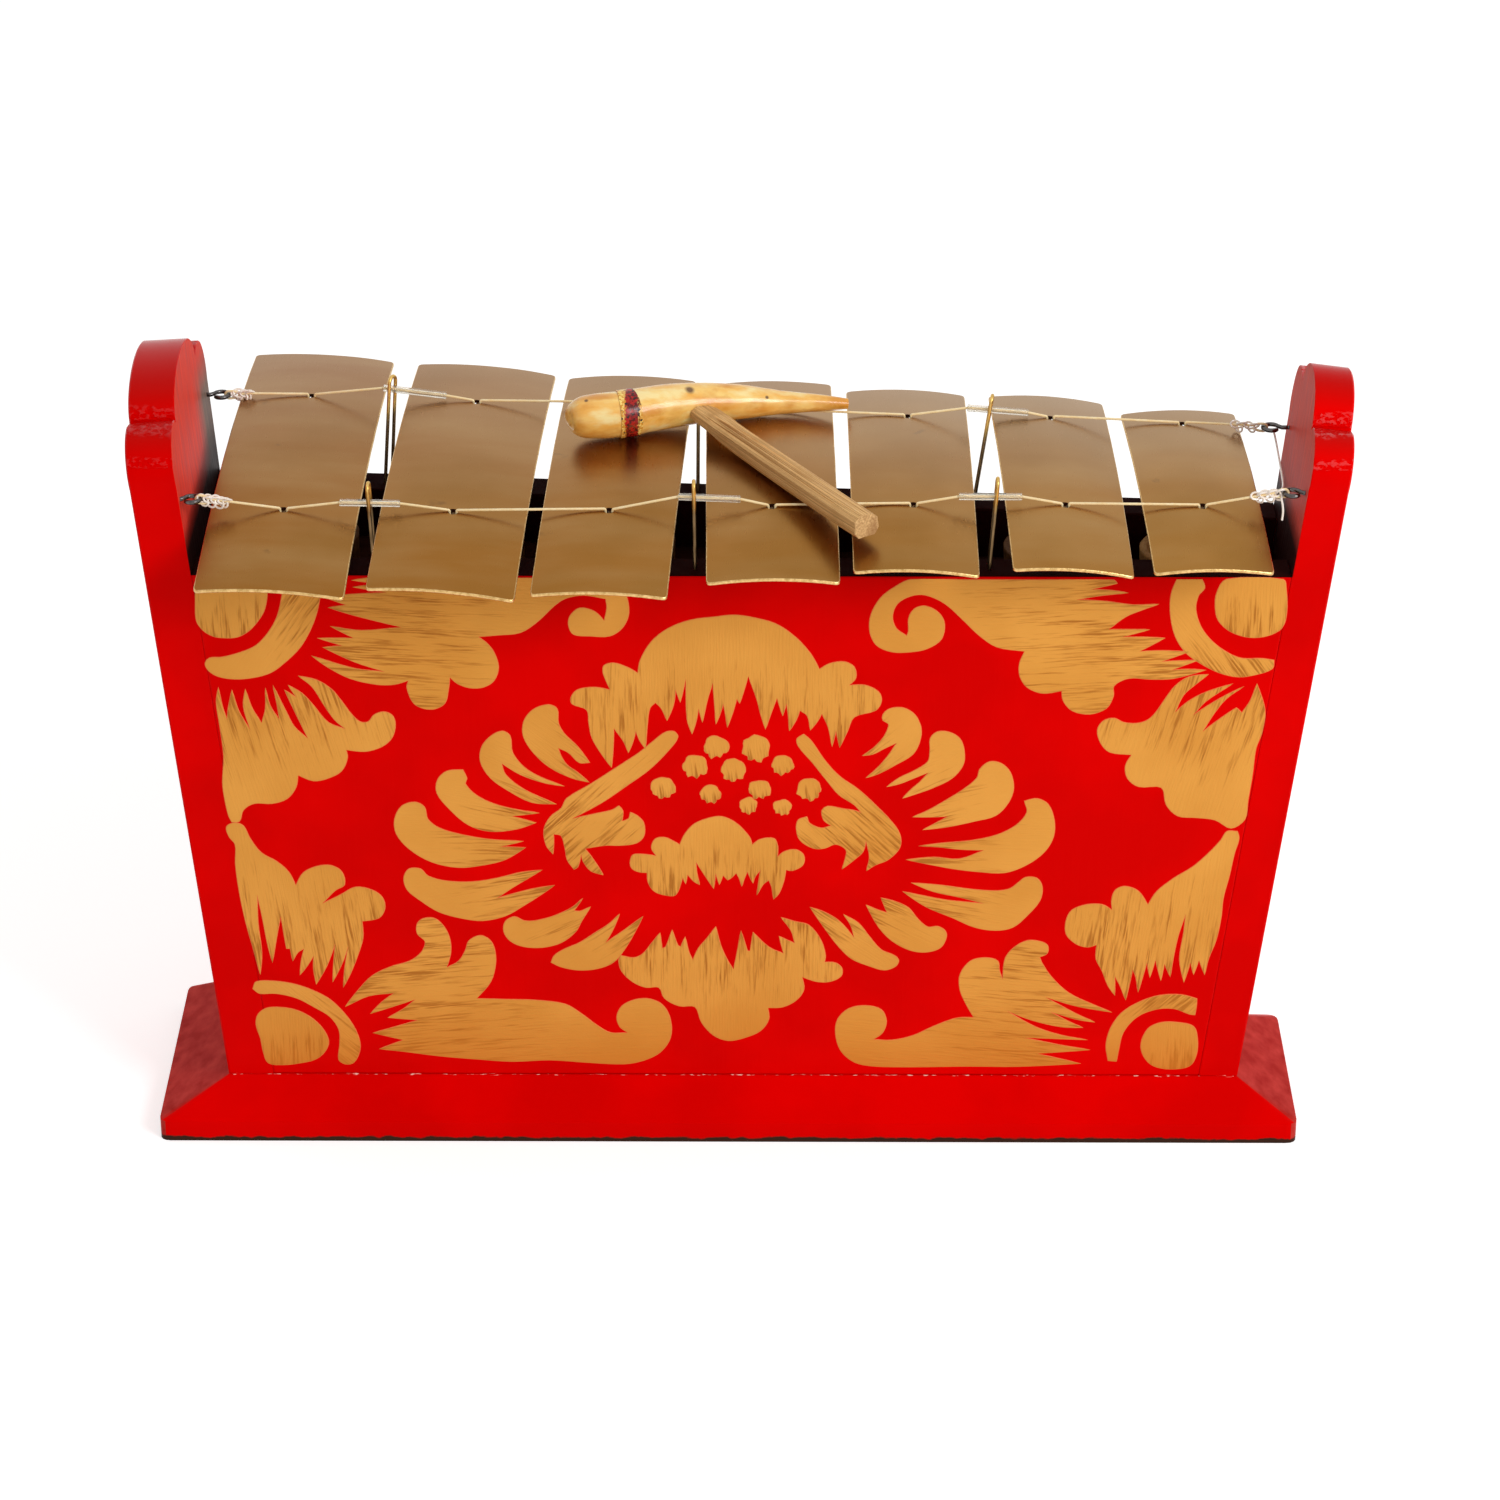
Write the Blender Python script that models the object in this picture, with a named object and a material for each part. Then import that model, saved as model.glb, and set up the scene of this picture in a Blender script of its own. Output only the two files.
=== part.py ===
# Table metallophone with seven hung keys on a painted resonator case, and its mallet.
# Metres, +Z up, front of the case towards -Y. Origin: middle of the bounding box, under the plinth.
import math

import bmesh
import bpy
from mathutils import Matrix, Vector

# Plinth
PLINTH_WIDTH = 0.620
PLINTH_DEPTH_LEFT = 0.1482
PLINTH_DEPTH_RIGHT = 0.1176
PLINTH_EDGE = 0.0121
PLINTH_TOP = 0.0277

# Case: four sides that lean outwards from the foot line on the plinth
SEAT_GAP = 0.0002
PANEL_THICK = 0.022
FRONT_FOOT_Y = 0.0248
FRONT_LEAN = math.radians(2.95)
FRONT_TOP = 0.3366
BACK_FOOT_Y = 0.1123
BACK_SKEW = -0.075
BACK_LEAN = math.radians(3.06)
BACK_TOP = 0.3351
LEFT_FOOT_X = -0.2735
LEFT_LEAN = math.radians(4.91)
LEFT_THICK = 0.0240
RIGHT_FOOT_X = 0.2784
RIGHT_LEAN = math.radians(6.12)
RIGHT_THICK = 0.0205
LOBE_START = 0.386
# Front lobe, back lobe (notch from the edge, notch height, lobe top, share of the notch), middle top
LEFT_LOBES = ((0.0285, 0.4107, 0.4147, 0.70), (0.0282, 0.4107, 0.4136, 0.62), 0.4316)
RIGHT_LOBES = ((0.0240, 0.4098, 0.4134, 0.70), (0.0261, 0.4150, 0.4174, 0.50), 0.4325)

# Keys: front hole, back hole (on the top face), front overhang, back overhang, width, roll
KEYS = (
    ((-0.2276, 0.0195, 0.3688), (-0.2239, 0.1462, 0.3786), 0.0699, 0.0621, 0.0760, 0.044),
    ((-0.1406, 0.0195, 0.3679), (-0.1347, 0.1376, 0.3788), 0.0666, 0.0516, 0.0752, 0.070),
    ((-0.0605, 0.0195, 0.3687), (-0.0546, 0.1343, 0.3791), 0.0687, 0.0399, 0.0694, 0.0),
    ((0.0231, 0.0195, 0.3712), (0.0218, 0.1246, 0.3794), 0.0624, 0.0438, 0.0677, 0.0),
    ((0.0957, 0.0195, 0.3723), (0.0951, 0.1173, 0.3796), 0.0565, 0.0390, 0.0640, 0.040),
    ((0.1737, 0.0195, 0.3723), (0.1707, 0.1149, 0.3798), 0.0549, 0.0315, 0.0618, 0.085),
    ((0.2440, 0.0195, 0.3718), (0.2398, 0.1064, 0.3801), 0.0525, 0.0188, 0.0612, 0.017),
)
KEY_THICK = 0.0021
KEY_ARCH = 0.0365
KEY_CROWN = 0.0026
KEY_CORNER = 0.0030
HOLE_R = 0.0026
HOLE_CELL = 0.0048

# Pegs under the holes, and the cords that loop round them
PEG_R = 0.0011
PEG_LENGTH = 0.012
PEG_GAP = 0.00012
CORD_R = 0.0005
LOOP_R = 0.00185

# Posts: base, top, turn about Z, and the sleeve's two ends
WIRE_R = 0.0010
POST_DEPTH = 0.012
HOLE_CLEAR = 0.0002
SLEEVE_R = 0.0019
SLEEVE_BORE = 0.00085
SLEEVE_GAP = 0.00025
FRONT_POSTS = (
    ((-0.1819, 0.0208), (-0.1838, 0.0184, 0.3849), 4, (-0.1986, 0.3731), (-0.1676, 0.3726)),
    ((-0.0165, 0.0208), (-0.0169, 0.0183, 0.3864), 0, (-0.0248, 0.3768), (0.0070, 0.3755)),
    ((0.1354, 0.0208), (0.1387, 0.0182, 0.3883), 0, (0.1190, 0.3772), (0.1512, 0.3772)),
)
BACK_POSTS = (
    ((-0.1831, 0.1330), (-0.1794, 0.1400, 0.3935), 24, (-0.1845, 0.3862), (-0.1510, 0.3819)),
    ((-0.0165, 0.1225), (-0.0160, 0.1305, 0.3925), 0, (-0.0250, 0.3855), (0.0065, 0.3838)),
    ((0.1310, 0.1085), (0.1399, 0.1160, 0.3931), 8, (0.1267, 0.3855), (0.1588, 0.3829)),
)

# Screw eyes: ring centres
EYE_RING_R = 0.0042
EYE_WIRE_R = 0.0012
EYE_DEPTH = 0.010
EYES = {
    "back_left_eye": (-0.2719, 0.1430, 0.3804),
    "front_left_eye": (-0.2735, 0.0125, 0.3777),
    "back_right_eye": (0.2860, 0.0990, 0.3814),
    "front_right_eye": (0.2891, 0.0150, 0.3812),
}

# Resonator tubes: mouth diameter, foot diameter, foot height
TUBES = (
    (0.062, 0.054, 0.090),
    (0.061, 0.054, 0.110),
    (0.060, 0.053, 0.135),
    (0.058, 0.051, 0.160),
    (0.057, 0.049, 0.185),
    (0.055, 0.047, 0.215),
    (0.052, 0.046, 0.250),
)
TUBE_MOUTH = 0.330
TUBE_WALL = 0.004
TUBE_FLOOR = 0.006
RACK_TOP = 0.308
RACK_THICK = 0.012

# Mallet head: axis point and radius from the striking end to the tail
HEAD = (
    (-0.0842, 0.0895, 0.3897, 0.0035),
    (-0.0824, 0.0902, 0.3898, 0.0075),
    (-0.0779, 0.0910, 0.3899, 0.0107),
    (-0.0699, 0.0920, 0.3901, 0.0120),
    (-0.0578, 0.0938, 0.3904, 0.01235),
    (-0.0536, 0.0952, 0.3905, 0.01235),
    (-0.0495, 0.0968, 0.3905, 0.01235),
    (-0.0360, 0.1032, 0.3904, 0.0121),
    (-0.0150, 0.1112, 0.3896, 0.0110),
    (0.0062, 0.1155, 0.3884, 0.0094),
    (0.0273, 0.1185, 0.3869, 0.0066),
    (0.0487, 0.1208, 0.3857, 0.0046),
    (0.0634, 0.1225, 0.3846, 0.0030),
)
BAND = (4, 7)
BAND_THICK = 0.0003

# Mallet handle: middle of the top face, width and height, from the head to the free end
HANDLE = (
    (-0.0190, 0.1095, 0.3936, 0.0146, 0.0078),
    (-0.0138, 0.1018, 0.3930, 0.0150, 0.0082),
    (-0.0053, 0.0898, 0.3921, 0.0156, 0.0092),
    (0.0049, 0.0755, 0.3910, 0.0148, 0.0116),
    (0.0287, 0.0420, 0.3885, 0.0155, 0.0128),
    (0.0541, 0.0060, 0.3858, 0.0158, 0.0130),
    (0.0711, -0.0179, 0.3840, 0.0152, 0.0126),
)

TAN_FRONT = math.tan(FRONT_LEAN)
TAN_BACK = math.tan(BACK_LEAN)
TAN_LEFT = math.tan(LEFT_LEAN)
TAN_RIGHT = math.tan(RIGHT_LEAN)


def clear_scene():
    for obj in list(bpy.data.objects):
        bpy.data.objects.remove(obj, do_unlink=True)


def material(name, color, metallic, roughness):
    made = bpy.data.materials.new(name)
    made.use_nodes = True
    shader = made.node_tree.nodes["Principled BSDF"]
    shader.inputs["Base Color"].default_value = (*color, 1.0)
    shader.inputs["Metallic"].default_value = metallic
    shader.inputs["Roughness"].default_value = roughness
    return made


def node(name, points, faces, kind, parent, location=(0, 0, 0), smooth=False):
    mesh = bpy.data.meshes.new(name)
    mesh.from_pydata([tuple(point) for point in points], [], faces)
    mesh.validate()
    shape = bmesh.new()
    shape.from_mesh(mesh)
    bmesh.ops.recalc_face_normals(shape, faces=shape.faces)
    shape.to_mesh(mesh)
    shape.free()
    obj = bpy.data.objects.new(name, mesh)
    bpy.context.scene.collection.objects.link(obj)
    obj.parent = parent
    obj.location = location
    if kind is not None:
        color, metallic, roughness = kind
        mesh.materials.append(material(name, color, metallic, roughness))
    for polygon in mesh.polygons:
        polygon.use_smooth = smooth
    return obj


def rings_mesh(rings, close_start=True, close_end=True):
    """Points and faces of a skin through rings that have the same number of points."""
    count = len(rings[0])
    points = [point for ring in rings for point in ring]
    faces = []
    for level in range(len(rings) - 1):
        a = level * count
        b = a + count
        for i in range(count):
            j = (i + 1) % count
            faces.append((a + i, a + j, b + j, b + i))
    if close_start:
        faces.append(tuple(reversed(range(count))))
    if close_end:
        last = (len(rings) - 1) * count
        faces.append(tuple(last + i for i in range(count)))
    return points, faces


def closed_loop(rings):
    """A skin through rings whose last one joins the first, as on a pipe's wall."""
    points, faces = rings_mesh(rings + [rings[0]], False, False)
    wrap = len(points) - len(rings[0])
    return points[:wrap], [tuple(index % wrap for index in face) for face in faces]


def sweep(points, radii, sides):
    """Rings of a tube along a path, carried along without twist."""
    path = [Vector(point) for point in points]
    tangents = []
    for i, here in enumerate(path):
        before = path[max(i - 1, 0)]
        after = path[min(i + 1, len(path) - 1)]
        forward = (here - before).normalized() + (after - here).normalized()
        tangents.append(forward.normalized())
    side = tangents[0].orthogonal().normalized()
    rings = []
    for i, here in enumerate(path):
        side = (side - tangents[i] * side.dot(tangents[i])).normalized()
        other = tangents[i].cross(side)
        radius = radii[i] if isinstance(radii, (list, tuple)) else radii
        ring = []
        for k in range(sides):
            angle = 2 * math.pi * k / sides
            ring.append(here + (side * math.cos(angle) + other * math.sin(angle)) * radius)
        rings.append(ring)
    return rings


def cut(target, cutter, name, operation="DIFFERENCE"):
    modifier = target.modifiers.new(name, "BOOLEAN")
    modifier.object = cutter
    modifier.operation = operation
    modifier.solver = "EXACT"
    cutter.hide_render = True
    cutter.display_type = "WIRE"


def soften(target, width, segments=2):
    modifier = target.modifiers.new("soft_edges", "BEVEL")
    modifier.width = width
    modifier.segments = segments
    modifier.limit_method = "ANGLE"
    modifier.angle_limit = math.radians(40)


def front_y(z, inset=0.0):
    """Y of the front panel's outer face at height z, moved inwards by inset."""
    return FRONT_FOOT_Y - (z - PLINTH_TOP) * TAN_FRONT + inset / math.cos(FRONT_LEAN)


def back_y(x, z, inset=0.0):
    """Y of the back panel's outer face, moved inwards by inset."""
    foot = BACK_FOOT_Y + BACK_SKEW * x + (z - PLINTH_TOP) * TAN_BACK
    return foot - inset / math.cos(BACK_LEAN)


def left_x(z, inset=0.0):
    return LEFT_FOOT_X - (z - PLINTH_TOP) * TAN_LEFT + inset / math.cos(LEFT_LEAN)


def right_x(z, inset=0.0):
    return RIGHT_FOOT_X + (z - PLINTH_TOP) * TAN_RIGHT - inset / math.cos(RIGHT_LEAN)


def between_boards(z):
    """The two ends of a piece that stands between the end boards."""
    return left_x(z, LEFT_THICK + SEAT_GAP), right_x(z, RIGHT_THICK + SEAT_GAP)


def plinth(parent):
    half = PLINTH_WIDTH / 2
    base = [(-half, 0.0), (half, 0.0), (half, PLINTH_DEPTH_RIGHT), (-half, PLINTH_DEPTH_LEFT)]
    xl, xr = left_x(PLINTH_TOP), right_x(PLINTH_TOP)
    top = [
        (xl, front_y(PLINTH_TOP)),
        (xr, front_y(PLINTH_TOP)),
        (xr, back_y(xr, PLINTH_TOP)),
        (xl, back_y(xl, PLINTH_TOP)),
    ]

    def rounded(corners, radius, height):
        ring = []
        for i, corner in enumerate(corners):
            here = Vector(corner)
            to_before = (Vector(corners[i - 1]) - here).normalized()
            to_after = (Vector(corners[(i + 1) % 4]) - here).normalized()
            for step in range(5):
                t = step / 4
                point = here + to_before * radius * (1 - t) ** 2 + to_after * radius * t**2
                ring.append((point.x, point.y, height))
        return ring

    rings = [
        rounded(base, 0.0060, 0.0),
        rounded(base, 0.0060, PLINTH_EDGE),
        rounded(top, 0.0012, PLINTH_TOP),
    ]
    made = node("base_plinth", *rings_mesh(rings), ((0.45, 0.05, 0.05), 0, 0.45), parent)
    soften(made, 0.0008, 1)
    return made


def slab(name, y_near, y_far, bottom, top, kind, parent):
    """A board whose ends lie against the end boards and whose faces follow two Y rules."""
    rings = []
    for rule in (y_near, y_far):
        ring = []
        for z, side in ((bottom, 0), (bottom, 1), (top, 1), (top, 0)):
            x = between_boards(z)[side]
            ring.append((x, rule(x, z), z))
        rings.append(ring)
    return node(name, *rings_mesh(rings), kind, parent)


def side_lobe(notch, notch_z, top, share):
    """Half of the outline of one outer lobe, from the board's edge (0) to its notch."""
    crest = share * notch
    bulge = 0.0015
    low = LOBE_START + 0.008
    outline = [(0.0, LOBE_START), (-bulge * 0.8, LOBE_START + 0.004)]
    for k in range(6):
        t = math.pi / 2 * k / 5
        along = crest - (crest + bulge) * math.cos(t)
        outline.append((along, low + (top - low) * math.sin(t)))
    outline.append((crest + 0.6 * (notch - crest), top - 0.3 * (top - notch_z)))
    outline.append((notch, notch_z))
    return outline


def scallop(depth, front_lobe, back_lobe, middle_top):
    """Side view of an end board's top, from the front edge (0) to the back edge (depth)."""
    outline = side_lobe(*front_lobe)
    first, last = front_lobe[0], depth - back_lobe[0]
    for k in range(1, 15):
        t = math.pi * k / 15
        along = (first + last) / 2 - (last - first) / 2 * math.cos(t)
        floor = front_lobe[1] + (back_lobe[1] - front_lobe[1]) * (1 - math.cos(t)) / 2
        outline.append((along, floor + (middle_top - floor) * math.sin(t) ** 0.9))
    return outline + [(depth - along, height) for along, height in reversed(side_lobe(*back_lobe))]


def end_board(name, face_x, thick, lean, lobes, parent):
    """A board cut flat and set leaning, with face_x as its outer face."""
    drop = thick * math.sin(lean)
    rings = []
    for inset in (0.0, thick):
        lower = drop if inset == 0.0 else 0.0
        x_at = face_x(LOBE_START - lower, inset)
        y0 = front_y(LOBE_START)
        depth = back_y(x_at, LOBE_START) - y0
        foot = PLINTH_TOP + SEAT_GAP
        x_foot = face_x(foot, inset)
        ring = [(x_foot, front_y(foot), foot)]
        for along, height in scallop(depth, *lobes):
            z = height - lower
            ring.append((face_x(z, inset), y0 + along, z))
        ring.append((x_foot, back_y(x_foot, foot), foot))
        rings.append(ring)
    return node(name, *rings_mesh(rings), ((0.62, 0.02, 0.02), 0, 0.25), parent)


def key_frame(index):
    """Origin, rotation, half length and hole stations of a key's top face."""
    front, back, over_front, over_back, width, _ = KEYS[index]
    front, back = Vector(front), Vector(back)
    flat = Vector((back.x - front.x, back.y - front.y, 0.0))
    half = (flat.length + over_front + over_back) / 2
    sagitta = KEY_ARCH * 2 * half
    tilt = math.atan2(back.z - front.z, flat.length)
    for _ in range(3):
        half = (flat.length + over_front + over_back) / 2 / math.cos(tilt)
        y_front = -half + over_front / math.cos(tilt)
        y_back = half - over_back / math.cos(tilt)
        z_front = -sagitta * (y_front / half) ** 2
        z_back = -sagitta * (y_back / half) ** 2
        tilt = math.atan2(back.z - front.z - (z_back - z_front), flat.length)
    yaw = -math.atan2(flat.x, flat.y)
    turn = Matrix.Rotation(yaw, 3, "Z") @ Matrix.Rotation(tilt, 3, "X")
    origin = front - turn @ Vector((0, y_front, z_front))
    return origin, turn, half, sagitta, (y_front, y_back), width


def key_drop(x, y, half, sagitta, width, roll=0.0):
    return -sagitta * (y / half) ** 2 - KEY_CROWN * (2 * x / width) ** 2 - roll * x


def key(index, parent):
    origin, turn, half, sagitta, stations, width = key_frame(index)
    roll = KEYS[index][5]
    edge = width / 2
    columns = [-edge, -edge + KEY_CORNER, -0.55 * edge, -HOLE_CELL]
    columns = columns + [0.0] + [-value for value in reversed(columns)]
    rows = [-half, -half + KEY_CORNER]
    low, high = stations[0] - HOLE_CELL, stations[1] + HOLE_CELL
    rows += [-half + (low + half) * 0.5, low, stations[0], stations[0] + HOLE_CELL]
    span = stations[1] - stations[0] - 2 * HOLE_CELL
    rows += [stations[0] + HOLE_CELL + span * k / 5 for k in range(1, 5)]
    rows += [stations[1] - HOLE_CELL, stations[1], high]
    if half - high > 0.02:
        rows.append((high + half) / 2)
    rows += [half - KEY_CORNER, half]
    middle = len(columns) // 2
    across, along = len(columns), len(rows)
    pull = KEY_CORNER * (1 - math.sqrt(0.5))
    points = []
    for level in (0.0, -KEY_THICK):
        for j, y in enumerate(rows):
            for i, x in enumerate(columns):
                px, py = x, y
                if i in (0, across - 1) and j in (0, along - 1):
                    px -= math.copysign(pull, x)
                    py -= math.copysign(pull, y)
                points.append((px, py, level + key_drop(px, py, half, sagitta, width, roll)))
    layer = across * along
    holes = [rows.index(stations[0]), rows.index(stations[1])]
    rim = {}
    for hole, centre in enumerate(stations):
        for level in (0, 1):
            for k in range(8):
                angle = math.pi * k / 4
                x = HOLE_R * math.cos(angle)
                y = centre + HOLE_R * math.sin(angle)
                rim[hole, level, k] = len(points)
                drop = key_drop(x, y, half, sagitta, width, roll)
                points.append((x, y, drop - level * KEY_THICK))

    def at(level, j, i):
        return level * layer + j * across + i

    faces = []
    for j in range(along - 1):
        for i in range(across - 1):
            if i in (middle - 1, middle) and (j in holes or j + 1 in holes):
                continue
            top = (at(0, j, i), at(0, j, i + 1), at(0, j + 1, i + 1), at(0, j + 1, i))
            faces.append(top)
            faces.append(tuple(index + layer for index in reversed(top)))
    border = [(0, i) for i in range(across)] + [(j, across - 1) for j in range(1, along)]
    border += [(along - 1, i) for i in reversed(range(across - 1))]
    border += [(j, 0) for j in reversed(range(1, along - 1))]
    for (j0, i0), (j1, i1) in zip(border, border[1:] + border[:1]):
        faces.append((at(1, j0, i0), at(1, j1, i1), at(0, j1, i1), at(0, j0, i0)))
    ring_of = [(0, 1), (1, 1), (1, 0), (1, -1), (0, -1), (-1, -1), (-1, 0), (-1, 1)]
    for hole, row in enumerate(holes):
        for k in range(8):
            n = (k + 1) % 8
            j0, i0 = row + ring_of[k][0], middle + ring_of[k][1]
            j1, i1 = row + ring_of[n][0], middle + ring_of[n][1]
            top = (rim[hole, 0, k], at(0, j0, i0), at(0, j1, i1), rim[hole, 0, n])
            faces.append(top)
            faces.append(
                (rim[hole, 1, n], at(1, j1, i1), at(1, j0, i0), rim[hole, 1, k])
            )
            faces.append((rim[hole, 0, k], rim[hole, 0, n], rim[hole, 1, n], rim[hole, 1, k]))
    kind = ((0.42, 0.26, 0.12), 1.0, 0.32)
    made = node(f"key_{index + 1}", points, faces, kind, parent, origin)
    made.rotation_euler = turn.to_euler()
    return made


def peg(index, end, key_obj):
    origin, turn, half, sagitta, stations, width = key_frame(index)
    y = stations[end]
    drop = key_drop(0, y, half, sagitta, width)
    slope = -2 * sagitta * y / half**2
    centre = Vector((0, y, drop)) - Vector((0, -slope, 1)).normalized() * (
        KEY_THICK + PEG_GAP + PEG_R
    )
    along = Vector((0, 1, slope)).normalized() * PEG_LENGTH / 2
    rings = sweep([-along, along], PEG_R, 8)
    name = f"{'front' if end == 0 else 'back'}_peg_{index + 1}"
    kind = ((0.55, 0.38, 0.20), 0, 0.6)
    return node(name, *rings_mesh(rings), kind, key_obj, centre)


def hole_path(index, end):
    """Nine points of the cord through one hole: down, round under the peg and up again."""
    origin, turn, half, sagitta, stations, width = key_frame(index)
    y = stations[end]
    drop = key_drop(0, y, half, sagitta, width)
    slope = -2 * sagitta * y / half**2
    up = Vector((0, -slope, 1)).normalized()
    peg_z = -(KEY_THICK + PEG_GAP + PEG_R)
    bend = LOOP_R * math.sqrt(0.5)
    half_loop = [(-0.0025, 0.00095), (-LOOP_R, 0.0001), (-LOOP_R, peg_z)]
    half_loop.append((-bend, peg_z - bend))
    loop = half_loop + [(0.0, peg_z - LOOP_R)] + [(-x, z) for x, z in reversed(half_loop)]
    return [origin + turn @ (Vector((x, y, drop)) + up * z) for x, z in loop]


def post_points(base, top, turn_deg, z_base):
    """Path of the bent wire relative to its base: up one leg, over the top, down the other."""
    foot = Vector((base[0], base[1], z_base))
    rise = Vector(top) - foot
    axis = rise.normalized()
    turn = math.radians(turn_deg)
    across = Vector((math.sin(turn), math.cos(turn), 0.0))
    across = (across - axis * across.dot(axis)).normalized()
    half = (SLEEVE_R + WIRE_R + SLEEVE_GAP) / math.cos(turn)
    bend_at = rise.length - WIRE_R - half
    leg = [(-POST_DEPTH, half + 0.0004), (0.0, half + 0.0004), (bend_at - 0.012, half)]
    arc = [(bend_at + half * math.sin(a), half * math.cos(a)) for a in
           (math.pi * k / 6 for k in range(4))]
    side = leg + arc
    path = side + [(h, -s) for h, s in reversed(side[:-1])]
    return foot, [axis * h + across * s for h, s in path], axis, across, half + 0.0004


def post(name, spec, z_base, parent):
    base, top, turn_deg, _, _ = spec
    foot, path, _, _, _ = post_points(base, top, turn_deg, z_base)
    rings = sweep(path, WIRE_R, 8)
    return node(name, *rings_mesh(rings), ((0.75, 0.52, 0.22), 1.0, 0.3), parent, foot, True)


def post_holes(name, specs, z_base, parent):
    """One cutter with two drillings for each post."""
    points, faces = [], []
    for base, top, turn_deg, _, _ in specs:
        foot, _, axis, across, half = post_points(base, top, turn_deg, z_base)
        for sign in (1, -1):
            low = foot + across * half * sign - axis * (POST_DEPTH + HOLE_CLEAR)
            high = foot + across * half * sign + axis * 0.004
            more, ring_faces = rings_mesh(sweep([low, high], WIRE_R + HOLE_CLEAR, 10))
            faces += [tuple(index + len(points) for index in face) for face in ring_faces]
            points += more
    return node(name, points, faces, None, parent)


def post_y(spec, z_base):
    """Y of a post's line at the height of its sleeve."""
    base, top, _, low_end, high_end = spec
    z = (low_end[1] + high_end[1]) / 2
    share = (z - z_base) / (top[2] - z_base)
    return base[1] + (top[1] - base[1]) * share


def sleeve_ends(spec, z_base):
    """The sleeve's two ends, shifted so that its axis meets the post's line."""
    base, top, _, a, b = spec
    y = post_y(spec, z_base)
    return Vector((a[0], y, a[1])), Vector((b[0], y, b[1]))


def sleeve(name, spec, z_base, parent):
    start, end = sleeve_ends(spec, z_base)
    middle = (start + end) / 2
    ends = [start - middle, end - middle]
    outer = sweep(ends, SLEEVE_R, 12)
    inner = sweep(ends, SLEEVE_BORE, 12)
    points, faces = closed_loop(outer + list(reversed(inner)))
    return node(name, points, faces, ((0.85, 0.83, 0.75), 0, 0.15), parent, middle, True)


def eye_side(centre):
    """Points from the board into the case: +1 at the left board, -1 at the right one."""
    return 1.0 if centre[0] < 0 else -1.0


def eye_shank(centre):
    x, y, z = centre
    side = eye_side(centre)
    face = left_x(z, LEFT_THICK) if side > 0 else right_x(z, RIGHT_THICK)
    return face - side * EYE_DEPTH - x


def screw_eye(name, centre, parent):
    side = eye_side(centre)
    path = [(eye_shank(centre), 0, 0), (-side * (EYE_RING_R + 0.0016), 0, 0)]
    for k in range(13):
        angle = math.radians(158 - (158 + 136) * k / 12)
        path.append((side * EYE_RING_R * math.cos(angle), EYE_RING_R * math.sin(angle), 0))
    rings = sweep(path, EYE_WIRE_R, 8)
    return node(name, *rings_mesh(rings), ((0.10, 0.10, 0.11), 1.0, 0.2), parent, centre, True)


def eye_holes(name, centres, parent):
    points, faces = [], []
    for centre in centres:
        side = eye_side(centre)
        deep = eye_shank(centre) - side * HOLE_CLEAR
        out = deep + side * (EYE_DEPTH + 0.004)
        ends = [Vector(centre) + Vector((shift, 0, 0)) for shift in (deep, out)]
        more, ring_faces = rings_mesh(sweep(ends, EYE_WIRE_R + HOLE_CLEAR, 10))
        faces += [tuple(index + len(points) for index in face) for face in ring_faces]
        points += more
    return node(name, points, faces, None, parent)


def eye_loop(centre, towards):
    """Cord points round the ring's wire, from the tail in the knot to the main strand."""
    side = eye_side(centre)
    reach = EYE_WIRE_R + 0.00022 + CORD_R
    origin = Vector(centre) + Vector((side * EYE_RING_R, 0, 0))
    line = (Vector(towards) - origin).normalized()
    points = [origin + line * 0.0052 - Vector((0, 0, 0.0009))]
    points.append(origin + line * 0.0026 - Vector((0, 0, reach * 0.9)))
    for k in range(5):
        angle = math.radians(-90 - 45 * k)
        points.append(origin + Vector((side * reach * math.cos(angle), 0, reach * math.sin(angle))))
    points.append(origin + line * 0.0026 + Vector((0, 0, reach * 0.9)))
    points.append(origin + line * 0.0058 + Vector((0, 0, 0.0007)))
    return points, origin + line * 0.0055


def cord(name, end, posts, z_base, left, right, parent):
    holes = [hole_path(index, end) for index in range(7)]
    start, left_knot = eye_loop(left, holes[0][0])
    finish, right_knot = eye_loop(right, holes[6][-1])
    path = list(start)
    for index in range(7):
        path += holes[index]
        if index in (0, 2, 4):
            path += sleeve_ends(posts[index // 2], z_base)
    path += reversed(finish)
    middle = Vector((0.0, holes[3][0].y, holes[3][0].z))
    rings = sweep([point - middle for point in path], CORD_R, 8)
    kind = ((0.85, 0.78, 0.55), 0, 0.4)
    made = node(name, *rings_mesh(rings), kind, parent, middle, True)
    for side, knot in (("left", left_knot), ("right", right_knot)):
        balls = []
        for k in range(1, 7):
            angle = math.pi * k / 7
            ring = []
            for n in range(10):
                turn = 2 * math.pi * n / 10
                radius = math.sin(angle)
                ring.append(Vector((
                    -0.0032 * math.cos(angle),
                    0.0024 * radius * math.cos(turn),
                    0.0026 * radius * math.sin(turn),
                )))
            balls.append(ring)
        ball = node(f"{name}_{side}_knot", *rings_mesh(balls), None, parent, knot)
        cut(made, ball, f"{side}_knot", "UNION")
    return made


def tube_place(index):
    """Middle of a tube between the two panels, under its key."""
    front, back = KEYS[index][:2]
    x = (front[0] + back[0]) / 2
    z = TUBE_MOUTH
    y = (front_y(z, PANEL_THICK) + back_y(x, z, PANEL_THICK)) / 2
    return x, y


def circle(radius, z, sides=24):
    turns = [2 * math.pi * k / sides for k in range(sides)]
    return [(radius * math.cos(turn), radius * math.sin(turn), z) for turn in turns]


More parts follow.
